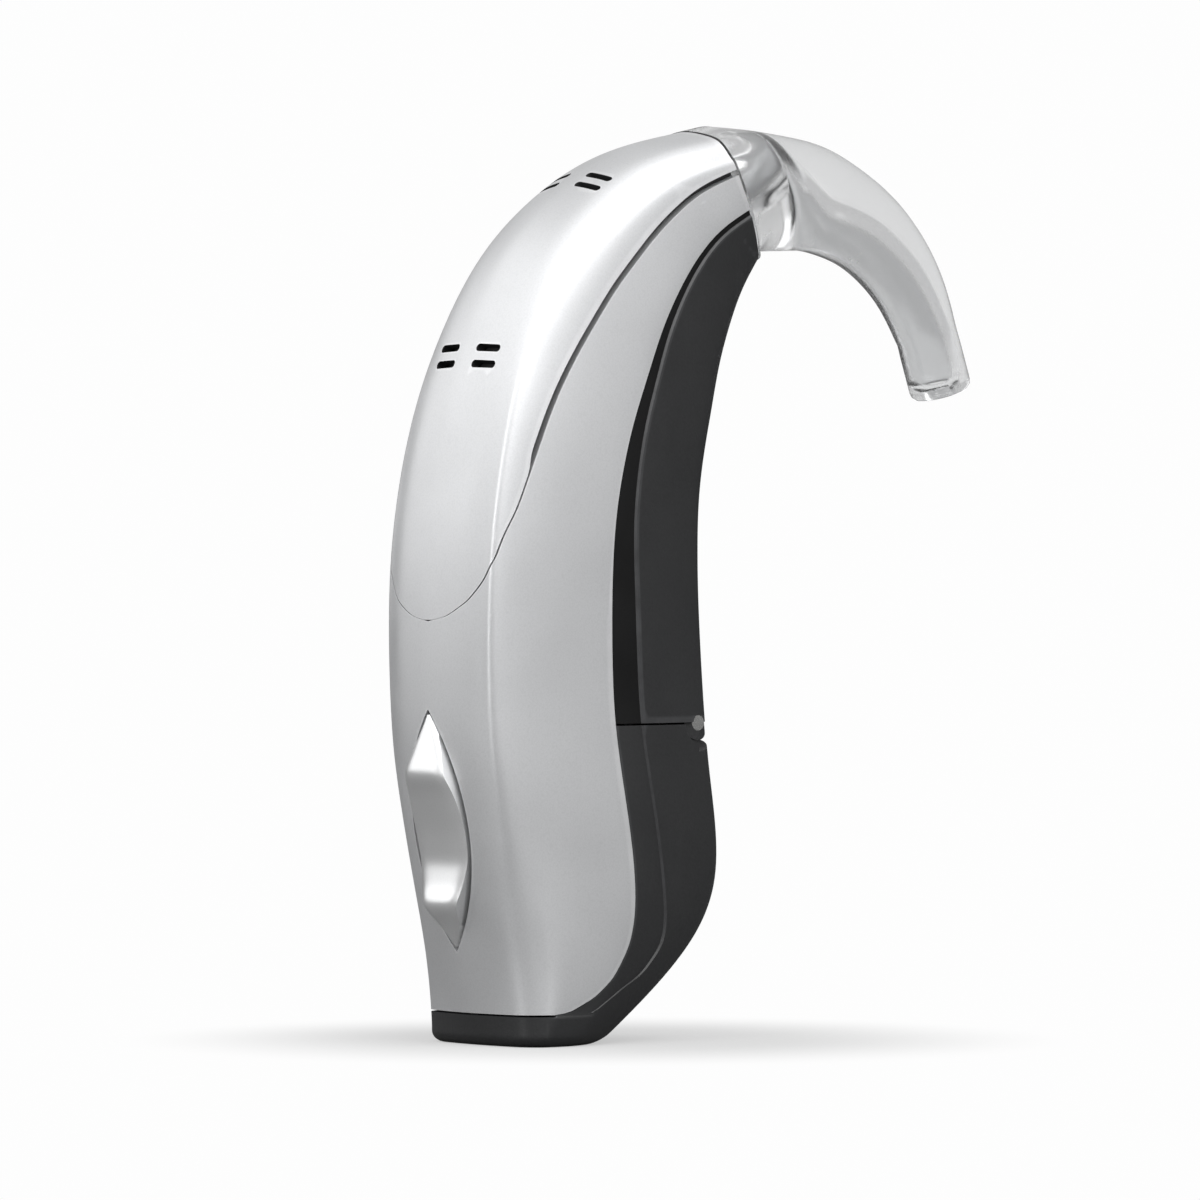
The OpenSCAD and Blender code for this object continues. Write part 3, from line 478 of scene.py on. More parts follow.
def finished(name, bm, materials, body, replaces=(), smooth_deg=40, bevel=None, segments=2):
    """Turns a bmesh into a piece: smooth shading, an optional bevel, its material and body, and hides the
    pieces it replaces.
    """
    mesh = mesh_of(name, bm)
    made = in_scene(name, mesh)
    for material in materials:
        mesh.materials.append(material)
    mesh.set_sharp_from_angle(angle=math.radians(smooth_deg))
    if bevel:
        cut = made.modifiers.new("edge", "BEVEL")
        cut.width, cut.segments = bevel * MM, segments
        cut.limit_method, cut.angle_limit = "ANGLE", math.radians(smooth_deg)
        cut.harden_normals = cut.use_clamp_overlap = True
    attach(made, body)
    if replaces:
        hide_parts(*replaces)
    print(name, "faces:", len(mesh.polygons))


def cut_with(bm, cutter, operation="DIFFERENCE"):
    """Cuts one bmesh with another, in millimetres, so that no step is tiny; returns the result."""
    holders = []
    for k, source in enumerate((bm, cutter)):
        bmesh.ops.scale(source, verts=source.verts, vec=(1 / MM, 1 / MM, 1 / MM))
        holders.append(in_scene(f"cut_{k}", mesh_of(f"cut_{k}", source)))
    boolean = holders[0].modifiers.new("cut", "BOOLEAN")
    boolean.object, boolean.operation, boolean.solver = holders[1], operation, "FAST"
    bpy.context.view_layer.update()
    result = holders[0].evaluated_get(bpy.context.evaluated_depsgraph_get())
    done = bpy.data.meshes.new_from_object(result)
    out = bmesh.new()
    out.from_mesh(done)
    bmesh.ops.scale(out, verts=out.verts, vec=(MM, MM, MM))
    for holder in holders:
        mesh = holder.data
        bpy.data.objects.remove(holder)
        bpy.data.meshes.remove(mesh)
    bpy.data.meshes.remove(done)
    return out


print("shell helpers ready, middle of the case at", [round(c / MM, 1) for c in middle])

# %% [markdown]
# ## Finishes
# Metallic paint is a clear resin with fine aluminium flakes, so the silver has a grain finer than a
# tenth of a millimetre, and soft clouds where the spray lay thicker. Moulded black plastic has the
# fine texture of its mould. Handling leaves small smears and hairlines on both, which show only as a
# change in gloss, and rubs the edges a little lighter. Each of these effects is a node group with its
# own scale, used by several finishes.

# %% Shared effects
def new_group(name, inputs, outputs):
    """A node group with its start and end, whose inputs and outputs are all plain numbers."""
    group = bpy.data.node_groups.new(name, "ShaderNodeTree")
    for label, value in inputs.items():
        made = group.interface.new_socket(label, in_out="INPUT", socket_type="NodeSocketFloat")
        made.default_value = value
    for label in outputs:
        group.interface.new_socket(label, in_out="OUTPUT", socket_type="NodeSocketFloat")
    return group, group.nodes.new("NodeGroupInput"), group.nodes.new("NodeGroupOutput")


def effect(tree, group, **values):
    return add(tree, "ShaderNodeGroup", values, node_tree=group)


def grain_group():
    """Grain: a fine even texture, as a height and as a mask of small cells."""
    group, start, end = new_group("grain", {"Scale": 9000.0}, ["Height", "Mask"])
    place = {"Vector": on_piece(group), "Scale": start.outputs["Scale"]}
    noise = add(group, "ShaderNodeTexNoise", {"Detail": 2.0, "Roughness": 0.6}, place)
    cells = add(group, "ShaderNodeTexVoronoi", plugs=place)
    group.links.new(noise.outputs["Fac"], end.inputs["Height"])
    group.links.new(cells.outputs["Distance"], end.inputs["Mask"])
    return group


def handling_group():
    """Handling: soft clouds from touch and thin hairlines, as a change of roughness."""
    group, start, end = new_group("handling", {"Roughness": 0.4, "Clouds": 0.05, "Hairlines": 0.05},
                                  ["Roughness"])
    place = on_piece(group)
    clouds = add(group, "ShaderNodeTexNoise", {"Scale": 260.0, "Detail": 3.0}, {"Vector": place})
    stretch = add(group, "ShaderNodeMapping", {"Scale": (1, 1, 0.06), "Rotation": (0.2, 0.5, 0)},
                  {"Vector": place})
    lines = add(group, "ShaderNodeTexNoise", {"Scale": 5200.0, "Detail": 1.0},
                {"Vector": stretch.outputs[0]})
    thin = add(group, "ShaderNodeMapRange", {"From Min": 0.66, "From Max": 0.72},
               {"Value": lines.outputs["Fac"]})
    cloud = add(group, "ShaderNodeMapRange", {"From Min": 0.35, "From Max": 0.65, "To Min": -1.0},
                {"Value": clouds.outputs["Fac"]})
    total = start.outputs["Roughness"]
    for mask, amount in ((cloud, "Clouds"), (thin, "Hairlines")):
        total = add(group, "ShaderNodeMath", plugs={0: mask.outputs[0], 1: start.outputs[amount], 2: total},
                    operation="MULTIPLY_ADD").outputs[0]
    group.links.new(total, end.inputs["Roughness"])
    return group


def wear_group():
    """Edge wear: convex edges, where handling polishes a part, as a mask."""
    group, _, end = new_group("edge_wear", {}, ["Mask"])
    shape = add(group, "ShaderNodeNewGeometry")
    patchy = add(group, "ShaderNodeTexNoise", {"Scale": 900.0, "Detail": 3.0}, {"Vector": on_piece(group)})
    edge = add(group, "ShaderNodeMapRange", {"From Min": 0.60, "From Max": 0.72},
               {"Value": shape.outputs["Pointiness"]})
    mask = add(group, "ShaderNodeMath", plugs={0: edge.outputs[0], 1: patchy.outputs["Fac"]},
               operation="MULTIPLY")
    group.links.new(mask.outputs[0], end.inputs["Mask"])
    return group


grain, handling, edge_wear = grain_group(), handling_group(), wear_group()
print("effects:", [g.name for g in bpy.data.node_groups])

# %% One recipe for painted and moulded surfaces
def two_tone(tree, share, base, dark):
    return add(tree, "ShaderNodeMix", {"A": (*base, 1), "B": (*dark, 1)}, {"Factor": share},
               data_type="RGBA").outputs["Result"]


def plug_in(tree, shader, colours, roughness, height, strength, depth_mm):
    """Gives a shader its colours, its roughness and a bump of a depth in millimetres."""
    bump = add(tree, "ShaderNodeBump", {"Strength": strength, "Distance": depth_mm * MM},
               {"Height": height})
    for label, source in (("Base Color", colours), ("Roughness", roughness), ("Normal", bump.outputs[0])):
        tree.links.new(source, shader.inputs[label])


def surface(name, base, dark, roughness, metallic=0.0, grain_scale=9000.0, grain_mm=0.004, clouds=0.04,
            hairlines=0.05, wear=0.0, worn=(1, 1, 1), coat=0.0, coat_roughness=0.1, mottle=0.5,
            specular=0.5):
    """A finish whose colour moves between a base and a darker grain, with its own roughness and bump."""
    made, tree, shader = new_material(name, {"Metallic": metallic, "Coat Weight": coat,
                                             "Coat Roughness": coat_roughness,
                                             "Specular IOR Level": specular})
    fine = effect(tree, grain, Scale=grain_scale)
    touch = effect(tree, handling, Roughness=roughness, Clouds=clouds, Hairlines=hairlines)
    spread = add(tree, "ShaderNodeMapRange", {"To Max": mottle}, {"Value": fine.outputs["Mask"]})
    result = two_tone(tree, spread.outputs[0], base, dark)
    if wear:
        rubbed = effect(tree, edge_wear)
        amount = add(tree, "ShaderNodeMath", {1: wear}, {0: rubbed.outputs[0]}, operation="MULTIPLY")
        result = add(tree, "ShaderNodeMix", {"B": (*worn, 1)}, {"Factor": amount.outputs[0], "A": result},
                     data_type="RGBA").outputs["Result"]
    plug_in(tree, shader, result, touch.outputs[0], fine.outputs["Height"], 1.0, grain_mm)
    return made


silver = surface("silver_paint", (0.58, 0.585, 0.595), (0.47, 0.475, 0.482), 0.46, metallic=0.66,
                 grain_scale=11000.0, grain_mm=0.0014, clouds=0.025, wear=0.5, worn=(0.78, 0.78, 0.79),
                 coat=0.10, coat_roughness=0.20)
black = surface("black_plastic", (0.014, 0.0145, 0.0155), (0.007, 0.007, 0.0075), 0.46,
                grain_scale=7000.0, grain_mm=0.006, hairlines=0.08, wear=0.6, worn=(0.075, 0.076, 0.08))
# Near-black painted shade, for the floor of the seam and the walls of the slits, which lie in deep shade.
painted_shade_black = surface("painted_shade_black", (0.006, 0.006, 0.007), (0.003, 0.003, 0.003), 0.7)
print("finishes:", silver.name, black.name, painted_shade_black.name)

# %% [markdown]
# ## Main housing
# On the real aid this is one silver moulding: it wraps the spine from the black cap up to the hook,
# and its two flanks run on beside the microphone cover. Each row of the sheet goes from the spine, or
# from the cover's seam above the seam's start, to the edge where the black begins. The volume
# rocker's opening is cut out afterwards, through the wall.

# %% Rows of the main housing
corner_end_t, tongue_low_t, tongue_high_t = 0.15, 0.39, 0.47


def crowded(start, end, count):
    """Rows that lie closer together toward their start, where a corner is rounded."""
    return start + (end - start) * np.linspace(0, 1, count) ** 1.5


housing_rows = np.unique(np.concatenate([
    crowded(along_at(cap_h + parting_gap), corner_end_t, 40)[:-1],
    np.linspace(corner_end_t, tongue_low_t, 30)[:-1],
    np.linspace(tongue_low_t, tongue_high_t, 48)[:-1],
    np.linspace(tongue_high_t, 1, 76),
    [seam_start],
]))
print("housing rows:", len(housing_rows))

# %% Rocker opening
rocker_l, rocker_w, rocker_z = 11.8, 4.3, 10.5
rocker_gap = 0.12
cut_reach = 2.0
lens_end_share = 0.998


def spine_at(z):
    return on_case(along_at(z), 0)


def xz_unit(v):
    v = np.array([v[0], 0, v[2]])
    return v / np.linalg.norm(v)


def into_case(up):
    """The direction into the case, square to one up the spine."""
    return np.array([up[2], 0, -up[0]])


rocker_mid = spine_at(rocker_z)
rocker_up = xz_unit(spine_at(rocker_z + rocker_l / 2) - spine_at(rocker_z - rocker_l / 2))
rocker_in = into_case(rocker_up)
print("rocker's middle at", rocker_mid.round(2), "mm, its upward direction", rocker_up.round(3))


def lens_half(z, length, width):
    """Half the width of the lens outline at a height above its middle."""
    r = (length**2 + width**2) / (4 * width)
    return np.sqrt(np.maximum(r**2 - np.asarray(z, float)**2, 0)) - (r - width / 2)


def rocker_place(x, y, z):
    """A place in the rocker's own frame, X into the case and Z up the spine, in metres."""
    return Vector(rocker_mid + rocker_in * x + np.array([0, 1, 0]) * y + rocker_up * z) * MM


def lens_cutter(length, width):
    bm = bmesh.new()
    bmesh.ops.create_circle(bm, cap_ends=True, segments=80, radius=1)
    for v in bm.verts:
        turn = math.atan2(v.co.y, v.co.x)
        z = math.sin(turn) * length / 2 * lens_end_share
        y = math.copysign(float(lens_half(z, length, width)), math.cos(turn))
        v.co = rocker_place(-cut_reach, y, z)
    return pulled_solid(bm, rocker_in * 2 * cut_reach)


# %% Build the main housing
from_seam = np.where(housing_rows <= seam_start, 0.0, seam_at(np.maximum(housing_rows, seam_start)))
bm = grid_sheet(housing_rows, from_seam, edge_at(housing_rows), 44)
walled(bm, wall_t)
bm = cut_with(bm, lens_cutter(rocker_l + 2 * rocker_gap, rocker_w + 2 * rocker_gap))
finished("silver_housing", bm, [silver], "case", ["main_housing"], bevel=0.07, segments=3)

# %% [markdown]
# ### Floor of the seam
# Under the cover the real housing steps down to a ledge. Only the bottom of the open groove and of
# the slits shows it, in deep shade, so here it is its own strip, painted near-black as that shade,
# that follows the seam.

# %% Seam floor
ledge_start, ledge_past, ledge_under, ledge_t = 0.385, 0.03, 0.08, 0.12
ledge_rows = np.linspace(ledge_start, 1, 60)
ledge_edge = seam_at(np.maximum(ledge_rows, seam_start)) + ledge_past
bm = grid_sheet(ledge_rows, 0 * ledge_rows, ledge_edge, 16, cover_t + ledge_under)
walled(bm, ledge_t)
# The ledge gets the near-black painted shade.
finished("cover_ledge", bm, [painted_shade_black], "case")

# %% [markdown]
# ## Microphone cover
# A thin silver cover clips over both microphones. Its lower end is a rounded tongue, its sides run
# beside the open groove, and four pairs of slits let the sound in. The slits are short bars with
# round ends, all cut in one go. Their walls are deep and narrow, so they are painted near-black as
# the shade that fills them.

# %% Slits
mic_along_share = (0.655, 0.878)
slit_start, slit_l, slit_w, slit_pitch, slit_reach = 0.7, 1.7, 0.4, 0.85, 1.0
slit_zone, side_on = 3.2, 0.55


def slit_frame(t):
    """The place on the spine, and the directions along it and into the case."""
    along = xz_unit(on_case(t + t_step, 0) - on_case(t - t_step, 0))
    return on_case(t, 0), along, into_case(along)


def slit_bar(place, along, inward):
    """A bar with round ends, standing through the cover."""
    bm = bmesh.new()
    bmesh.ops.create_circle(bm, cap_ends=True, segments=24, radius=slit_w / 2)
    stretch = (slit_l - slit_w) / 2
    for v in bm.verts:
        x, y = v.co.x + math.copysign(stretch, v.co.x), v.co.y
        v.co = Vector(place + np.array([0, x, 0]) + along * y - inward * slit_reach) * MM
    return pulled_solid(bm, inward * 2 * slit_reach)


def all_slits():
    whole = bmesh.new()
    for t in mic_along_share:
        spine, along, inward = slit_frame(t)
        for side in (-1, 1):
            for row in (-1, 1):
                across = np.array([0, side * (slit_start + slit_l / 2), 0])
                one = slit_bar(spine + along * row * slit_pitch / 2 + across, along, inward)
                mesh = mesh_of("slit", one)
                whole.from_mesh(mesh)
                bpy.data.meshes.remove(mesh)
    return whole


# The slit walls get the near-black painted shade in place of the silver.
def shade_slits(bm):
    bm.normal_update()
    for t in mic_along_share:
        spine, _, inward = slit_frame(t)
        for face in bm.faces:
            near = (face.calc_center_median() - Vector(spine) * MM).length < slit_zone * MM
            if near and abs(face.normal.dot(Vector(inward))) < side_on:
                face.material_index = 1


# %% Build the cover
cover_start, cover_tip_u = 0.4012, 0.004
cover_rows = np.concatenate([crowded(cover_start, tongue_high_t, 30),
                             np.linspace(tongue_high_t, 1, 80)[1:]])
seam = seam_at(cover_rows)
cover_edge = np.maximum(seam - round_by(cover_rows, seam, groove_at(cover_rows)), cover_tip_u)
bm = grid_sheet(cover_rows, 0 * cover_rows, cover_edge, 36)
walled(bm, cover_t)
bm = cut_with(bm, all_slits())
shade_slits(bm)
finished("silver_mic_cover", bm, [silver, painted_shade_black], "case", ["microphone_cover"],
         bevel=0.05)

# %% [markdown]
# ## Belly shell and battery door
# The black half of the case is two mouldings that part at the hinge. The upper one fills the inner
# curve up to the hook. The lower one is the battery door: it also closes the foot, where its cap
# shows under the silver shell. Along the silver edge both have a glossier, slightly sunk strip, wide
# at the door and thin at the hook. Its darker colour is painted shade that stands for the darker look
# of that facet.

# %% Dark strip
# Its width, evenly along the case from the foot to the hook
strip_w = (0.3, 2.0, 2.35, 2.4, 2.2, 1.6, 1.0, 0.6, 0.4, 0.3, 0.25)
strip_sunk, strip_step, strip_columns = 0.10, 0.08, 12
strip_curve = even_curve([[w] for w in strip_w])


def black_start(t):
    edge = edge_at(t)
    return edge + round_by(t, edge, parting_gap)


def black_columns(t_rows, count):
    """Tables of u and depth: the strip first, then a small step, then the plain belly."""
    start = black_start(t_rows)
    width = strip_curve((len(strip_w) - 1) * np.asarray(t_rows, float))[:, 0]
    end = start + round_by(t_rows, start, width)
    step = end + round_by(t_rows, end, strip_step)
    strip = start[:, None] + (end - start)[:, None] * np.linspace(0, 1, strip_columns + 1)
    plain = step[:, None] + (1 - step)[:, None] * np.linspace(0, 1, count + 1)
    sunk = np.concatenate([np.full_like(strip, strip_sunk), np.zeros_like(plain)], axis=1)
    return np.concatenate([strip, plain], axis=1), sunk


def grid_span(face):
    """The first row and the first and last column that a face touches in its grid."""
    columns = [v.index % row_step for v in face.verts]
    return min(v.index // row_step for v in face.verts), min(columns), max(columns)


# A darker copy of the black plastic: its darker colour is painted shade on the strip.
strip_painted_shade = surface("strip_painted_shade", (0.003, 0.003, 0.0032), (0.0015, 0.0015, 0.0015), 0.40,
                      grain_scale=7000.0, grain_mm=0.003, clouds=0.05, hairlines=0.10, specular=0.25)
print("strip runs beside the silver edge, sunk by", strip_sunk, "mm")

# %% [markdown]
# ### Door hinge
# A steel pin runs across the belly. The door's knuckle turns on its middle, and two lugs of the belly
# shell hold its ends. Round bars and flat plates across the case make both the pieces and the cuts.

# %% Hinge sizes and cutters
hinge_x = 8.642
knuckle_r, knuckle_w, knuckle_gap = 1.0, 4.0, 0.04
lug_r, lug_w, lug_gap = 0.85 * knuckle_r, 1.4, 0.12
sweep_r = 1.4 * knuckle_r
pin_r, pin_cut_gap, lug_bore_gap, knuckle_bore_gap = 0.375, 0.02, 0.005, 0.03


def bar_y(radius, width, x=hinge_x, z=hinge_z, y=0.0, sides=64):
    """A round bar across the case."""
    bm = bmesh.new()
    bmesh.ops.create_cone(bm, cap_ends=True, segments=sides, radius1=radius, radius2=radius, depth=width)
    bmesh.ops.rotate(bm, verts=bm.verts, cent=(0, 0, 0), matrix=Matrix.Rotation(math.pi / 2, 3, "X"))
    bmesh.ops.translate(bm, verts=bm.verts, vec=(x, y, z))
    bmesh.ops.scale(bm, verts=bm.verts, vec=(MM, MM, MM))
    bmesh.ops.recalc_face_normals(bm, faces=bm.faces)
    return bm


def plate_y(points, width):
    """A flat plate across the case, from its outline in X and Z."""
    bm = bmesh.new()
    bmesh.ops.create_circle(bm, cap_ends=True, segments=len(points), radius=1)
    bm.verts.ensure_lookup_table()
    ring = sorted(bm.verts, key=lambda v: math.atan2(v.co.y, v.co.x) % (2 * math.pi))
    for v, (x, z) in zip(ring, points):
        v.co = Vector((x, -width / 2, z)) * MM
    return pulled_solid(bm, (0, width, 0))


print("pin at", (hinge_x, hinge_z), "mm, radius", pin_r)

# %% Belly shell
hinge_t = along_at(hinge_z + parting_gap / 2)
belly_rows = np.linspace(hinge_t, 1, 110)
bm = laid_sheet(belly_rows, *black_columns(belly_rows, 44))
# The strip's faces get the painted-shade black.
for face in bm.faces:
    face.material_index = int(grid_span(face)[2] <= strip_columns)
mirror_y(bm)
walled(bm, wall_t)
bm = cut_with(bm, bar_y(sweep_r, knuckle_w + 2 * lug_gap))
bm = cut_with(bm, bar_y(pin_r + pin_cut_gap, 2 * case_w))
finished("black_belly", bm, [black, strip_painted_shade], "case", ["belly_shell"], bevel=0.04)


# %% Hinge lugs
def case_block(z_low, z_high, sunk):
    """A closed slice of the case, to trim what must stay under its skin."""
    t_rows = np.array([along_at(z) for z in np.linspace(z_low, z_high, 24)])
    bm = grid_sheet(t_rows, 0 * t_rows, 0 * t_rows + 1, 64, sunk)
    bmesh.ops.holes_fill(bm, edges=bm.edges[:], sides=0)
    bmesh.ops.recalc_face_normals(bm, faces=bm.faces)
    return bm


for name, side in (("hinge_lug_near", -1), ("hinge_lug_far", 1)):
    bm = bar_y(lug_r, lug_w, y=side * (knuckle_w / 2 + lug_gap + lug_w / 2))
    bm = cut_with(bm, bar_y(pin_r + lug_bore_gap, 2 * case_w))
    bm = cut_with(bm, case_block(hinge_z - 3 * lug_r, hinge_z + 3 * lug_r, knuckle_gap), "INTERSECT")
    finished(name, bm, [black], "case", bevel=0.06)

# %% Battery door
door_top_t, door_low_t = along_at(hinge_z - parting_gap / 2), along_at(cap_h)
cap_columns, strip_first_row = 22, 4
foot_level = 0.02


def door_sheet():
    """The cap goes all the way round; above it only the columns past the silver edge stay."""
    bends = np.linspace(0, math.pi / 2, 9)
    low_rows = np.linspace(foot_r, cap_h, 8)[1:]
    cap_rows = np.array([along_at(foot_r * (1 - math.cos(b))) for b in bends]
                        + [along_at(z) for z in low_rows])
    cap_sunk = np.array([foot_r * (1 - math.sin(b)) for b in bends] + [0.0] * len(low_rows))
    t_rows = np.concatenate([cap_rows, crowded(door_low_t, corner_end_t, 40)[1:],
                             np.linspace(corner_end_t, door_top_t, 30)[1:]])
    u, sunk = black_columns(np.maximum(t_rows, door_low_t), 34)
    rise = np.clip((t_rows - door_low_t) / (corner_end_t - door_low_t), 0, 1)
    sunk = sunk * np.sqrt(rise)[:, None]
    sunk[:len(cap_rows)] += cap_sunk[:, None]
    inner = u[:, :1] * np.linspace(0, 1, cap_columns + 1)[:-1]
    u = np.concatenate([inner, u], axis=1)
    sunk = np.concatenate([np.repeat(sunk[:, :1], cap_columns, axis=1), sunk], axis=1)
    bm = laid_sheet(t_rows, u, sunk)
    cap_end = len(cap_rows) - 1
    gone = [f for f in bm.faces if grid_span(f)[0] >= cap_end and grid_span(f)[1] < cap_columns]
    bmesh.ops.delete(bm, geom=gone, context="FACES")
    for face in bm.faces:
        row, first, last = grid_span(face)
        in_strip = cap_columns <= first and last <= cap_columns + strip_columns
        face.material_index = int(in_strip and row > cap_end + strip_first_row)
    return bm


bm = door_sheet()
mirror_y(bm)
foot_rim = [e for e in bm.edges if e.is_boundary and max(v.co.z for v in e.verts) < foot_level * MM]
bmesh.ops.holes_fill(bm, edges=foot_rim, sides=0)
walled(bm, wall_t)
bm = cut_with(bm, bar_y(lug_r + lug_gap, 2 * case_w))
half_bar = plate_y([(hinge_x + sweep_r * math.cos(a), hinge_z + sweep_r * math.sin(a))
                    for a in np.linspace(-math.pi / 2, math.pi / 2, 25)], 2 * case_w)
bm = cut_with(bm, half_bar)
# The door's strip gets the same painted shade.
finished("black_door", bm, [black, strip_painted_shade], "door", ["battery_door"], bevel=0.04)

# %% [markdown]
# ### Inside the door
# The cell lies in a cradle that is part of the door, and a short web carries the hinge's knuckle. They
# are seen when the door is swung out.

# %% Cradle and knuckle
cell_d, cell_t, cell_gap = 7.9, 5.4, 0.08
cell_x, cell_z = 3.323, 6.38
pocket_r = cell_d / 2 + cell_gap
cradle_w, cradle_low, cradle_lip = 6.4, wall_t + 0.4, 0.35
cradle_back, cradle_top = cell_x - 0.375 * cell_d, cell_z + pocket_r + cradle_lip
cradle_sunk, cradle_past = wall_t - 0.02, 0.01
web_t, web_l, web_gap = 0.35, 2.6, 0.02
level_within = 0.05


def filling_bm():
    """The solid body of the door round the cell: its outside follows the shell's inner skin."""
    t_rows = np.array([along_at(z) for z in np.linspace(cradle_low, cradle_top, 30)])
    low = black_start(np.maximum(t_rows, door_low_t)) + cradle_past
    bm = grid_sheet(t_rows, low, 0 * t_rows + 1, 24, cradle_sunk)
    rim = [e for e in bm.edges if e.is_boundary]
    upright = [e for e in rim if abs(e.verts[0].co.z - e.verts[1].co.z) > level_within * MM]
    bmesh.ops.bridge_loops(bm, edges=upright)
    bmesh.ops.holes_fill(bm, edges=bm.edges[:], sides=0)
    bmesh.ops.recalc_face_normals(bm, faces=bm.faces)
    return bm


def block(x_low, x_high, z_low, z_high, width):
    return plate_y([(x_low, z_high), (x_high, z_high), (x_high, z_low), (x_low, z_low)], width)


pocket = bar_y(pocket_r, cell_t + 2 * cell_gap, cell_x, cell_z, sides=128)
rest = block(cradle_back, cell_x, cell_z - pocket_r, wall_t, cradle_w)
web = block(hinge_x - knuckle_r + knuckle_gap, hinge_x + web_t, hinge_z - web_l, hinge_z,
            knuckle_w - web_gap)
knuckle = bar_y(knuckle_r - knuckle_gap, knuckle_w)
bore = bar_y(pin_r + knuckle_bore_gap, 2 * knuckle_w)
inside_door = {
    "door_cradle": (cut_with(filling_bm(), pocket), 0.05),
    "door_rest": (rest, 0.05),
    "hinge_web": (web, 0.06),
    "hinge_knuckle": (cut_with(knuckle, bore), 0.06),
}
for name, (bm, bevel) in inside_door.items():
    finished(name, bm, [black], "door", bevel=bevel)

# %% [markdown]
# ## Volume rocker
# The key is one lens-shaped piece that tips about a pin. Its upper end stands proud in a rounded bump,
# the middle is hollowed for a fingertip, and the lower end rises again to a shorter, higher bump with a
# crisp lower edge. A grid laid across the lens gives the face, and its rim is drawn down into the case.

# %% Rocker face
rocker_proud, rocker_skirt = 0.62, 0.9
# How far the crown stands proud, from the lower end to the upper end, in shares of the full height
rocker_crown_share = [0.02, 0.35, 0.80, 1.20, 0.80, 0.40, 0.12, 0.08, 0.12, 0.26, 0.46, 0.74, 1.05, 0.80,
                      0.50, 0.24, 0.02]
rocker_tip_cut, rocker_ease_share, rocker_fall_share = 0.15, 0.055, 0.35


def rocker_skin(z):
    """How far the case's own spine bows away from the rocker's straight middle line."""
    return float(np.dot(spine_at(rocker_z + z * rocker_up[2]) - rocker_mid, rocker_in))


def rocker_bm():
    crown = even_curve([[v] for v in rocker_crown_share])
    bm = bmesh.new()
    bmesh.ops.create_grid(bm, x_segments=28, y_segments=72, size=0.5)
    for v in bm.verts:
        z = 2 * v.co.y * (rocker_l / 2 - rocker_tip_cut)
        share = float(crown((v.co.y + 0.5) * (len(rocker_crown_share) - 1))[0])
        side = 2 * v.co.x
        y = side * (1 - rocker_ease_share) * float(lens_half(z, rocker_l, rocker_w))
        proud = rocker_proud * (max(share, rocker_crown_share[0]) - rocker_fall_share * side**4)
        v.co = rocker_place(rocker_skin(z) - proud, y, z)
    rim = [e for e in bm.edges if e.is_boundary]
    pulled = bmesh.ops.extrude_edge_only(bm, edges=rim)
    for g in pulled["geom"]:
        if isinstance(g, bmesh.types.BMVert):
            g.co += Vector(rocker_in) * rocker_skirt * MM
    low_rim = [g for g in pulled["geom"] if isinstance(g, bmesh.types.BMEdge) and g.is_boundary]
    bmesh.ops.contextual_create(bm, geom=low_rim)
    bmesh.ops.recalc_face_normals(bm, faces=bm.faces)
    return bm


# A lighter copy of the silver paint for the key: its lighter colour is painted highlight on the key.
painted_highlight_silver = surface("silver_key_painted_highlight", (0.78, 0.785, 0.79), (0.68, 0.685, 0.69), 0.34, metallic=0.80,
                        grain_scale=14000.0, grain_mm=0.001, clouds=0.02, hairlines=0.03)
finished("volume_key", rocker_bm(), [painted_highlight_silver], "rocker", ["volume_rocker"],
         bevel=0.12, segments=3)

# %% [markdown]
# ## Ear hook
# The hook is moulded in clear plastic. It starts with the outline of the case and narrows to a round end
# for the tube. Inside are a socket for the nozzle, a chamber for the sound and a bore. Clear plastic
# shows both of its skins, so these are true inner walls here. Rings of vertices are set along a curve,
# down the outside and back up the inside, and bridged.

# %% Hook line
hook_reach, hook_drop = 13.95, 6.9
hook_tip_d, hook_tip_l, hook_tip_edge_r = 3.15, 3.0, 0.45
hook_tip_tilt = math.radians(18.5)
nozzle_d, nozzle_l, nozzle_gap, socket_ease = 2.8, 3.4, 0.05, 0.04
bore_d, bore_ease = 1.4, 0.08
hook_blend_share = 0.22
base_gap = 0.14
# Places along the hook as shares of its reach and its drop, and its radius as a share of the base's
hook_share = [
    [0.000, 0.000, 1.000], [0.145, 0.040, 0.872], [0.290, 0.036, 0.812], [0.420, 0.014, 0.765],
    [0.545, -0.060, 0.700], [0.695, -0.205, 0.625], [0.830, -0.430, 0.555], [0.927, -0.690, 0.495],
    [1.000, -1.000, 0.435],
]


def up_of(direction):
    """The direction square to another in the X Z plane, towards the hook's upper side."""
    return np.array([-direction[1], direction[0]])


end_spine, end_belly, _, _ = station(np.array(1.0))
end_mid = (end_spine + end_belly) / 2
base_half = np.linalg.norm(end_belly - end_spine) / 2
nozzle_dir = up_of((end_belly - end_spine) / (2 * base_half))
hook_start = end_mid + nozzle_dir * base_gap
hook_curve = even_curve(hook_share)
tip_dir = np.array([math.sin(hook_tip_tilt), -math.cos(hook_tip_tilt)])


def hook_row(t):
    """The line's middle and its radius, in millimetres."""
    reach, drop, radius = hook_curve(t * (len(hook_share) - 1))
    return hook_start + np.array([reach * hook_reach, drop * hook_drop]), radius * base_half


def hook_dir(t):
    if t <= 0:
        return nozzle_dir
    if t >= 1:
        return tip_dir
    step = hook_row(min(t + t_step, 1))[0] - hook_row(max(t - t_step, 0))[0]
    return step / np.linalg.norm(step)


def ring_place(centre, direction, radius, angle):
    x, z = centre + up_of(direction) * radius * math.cos(angle)
    return np.array([x, -radius * math.sin(angle), z])


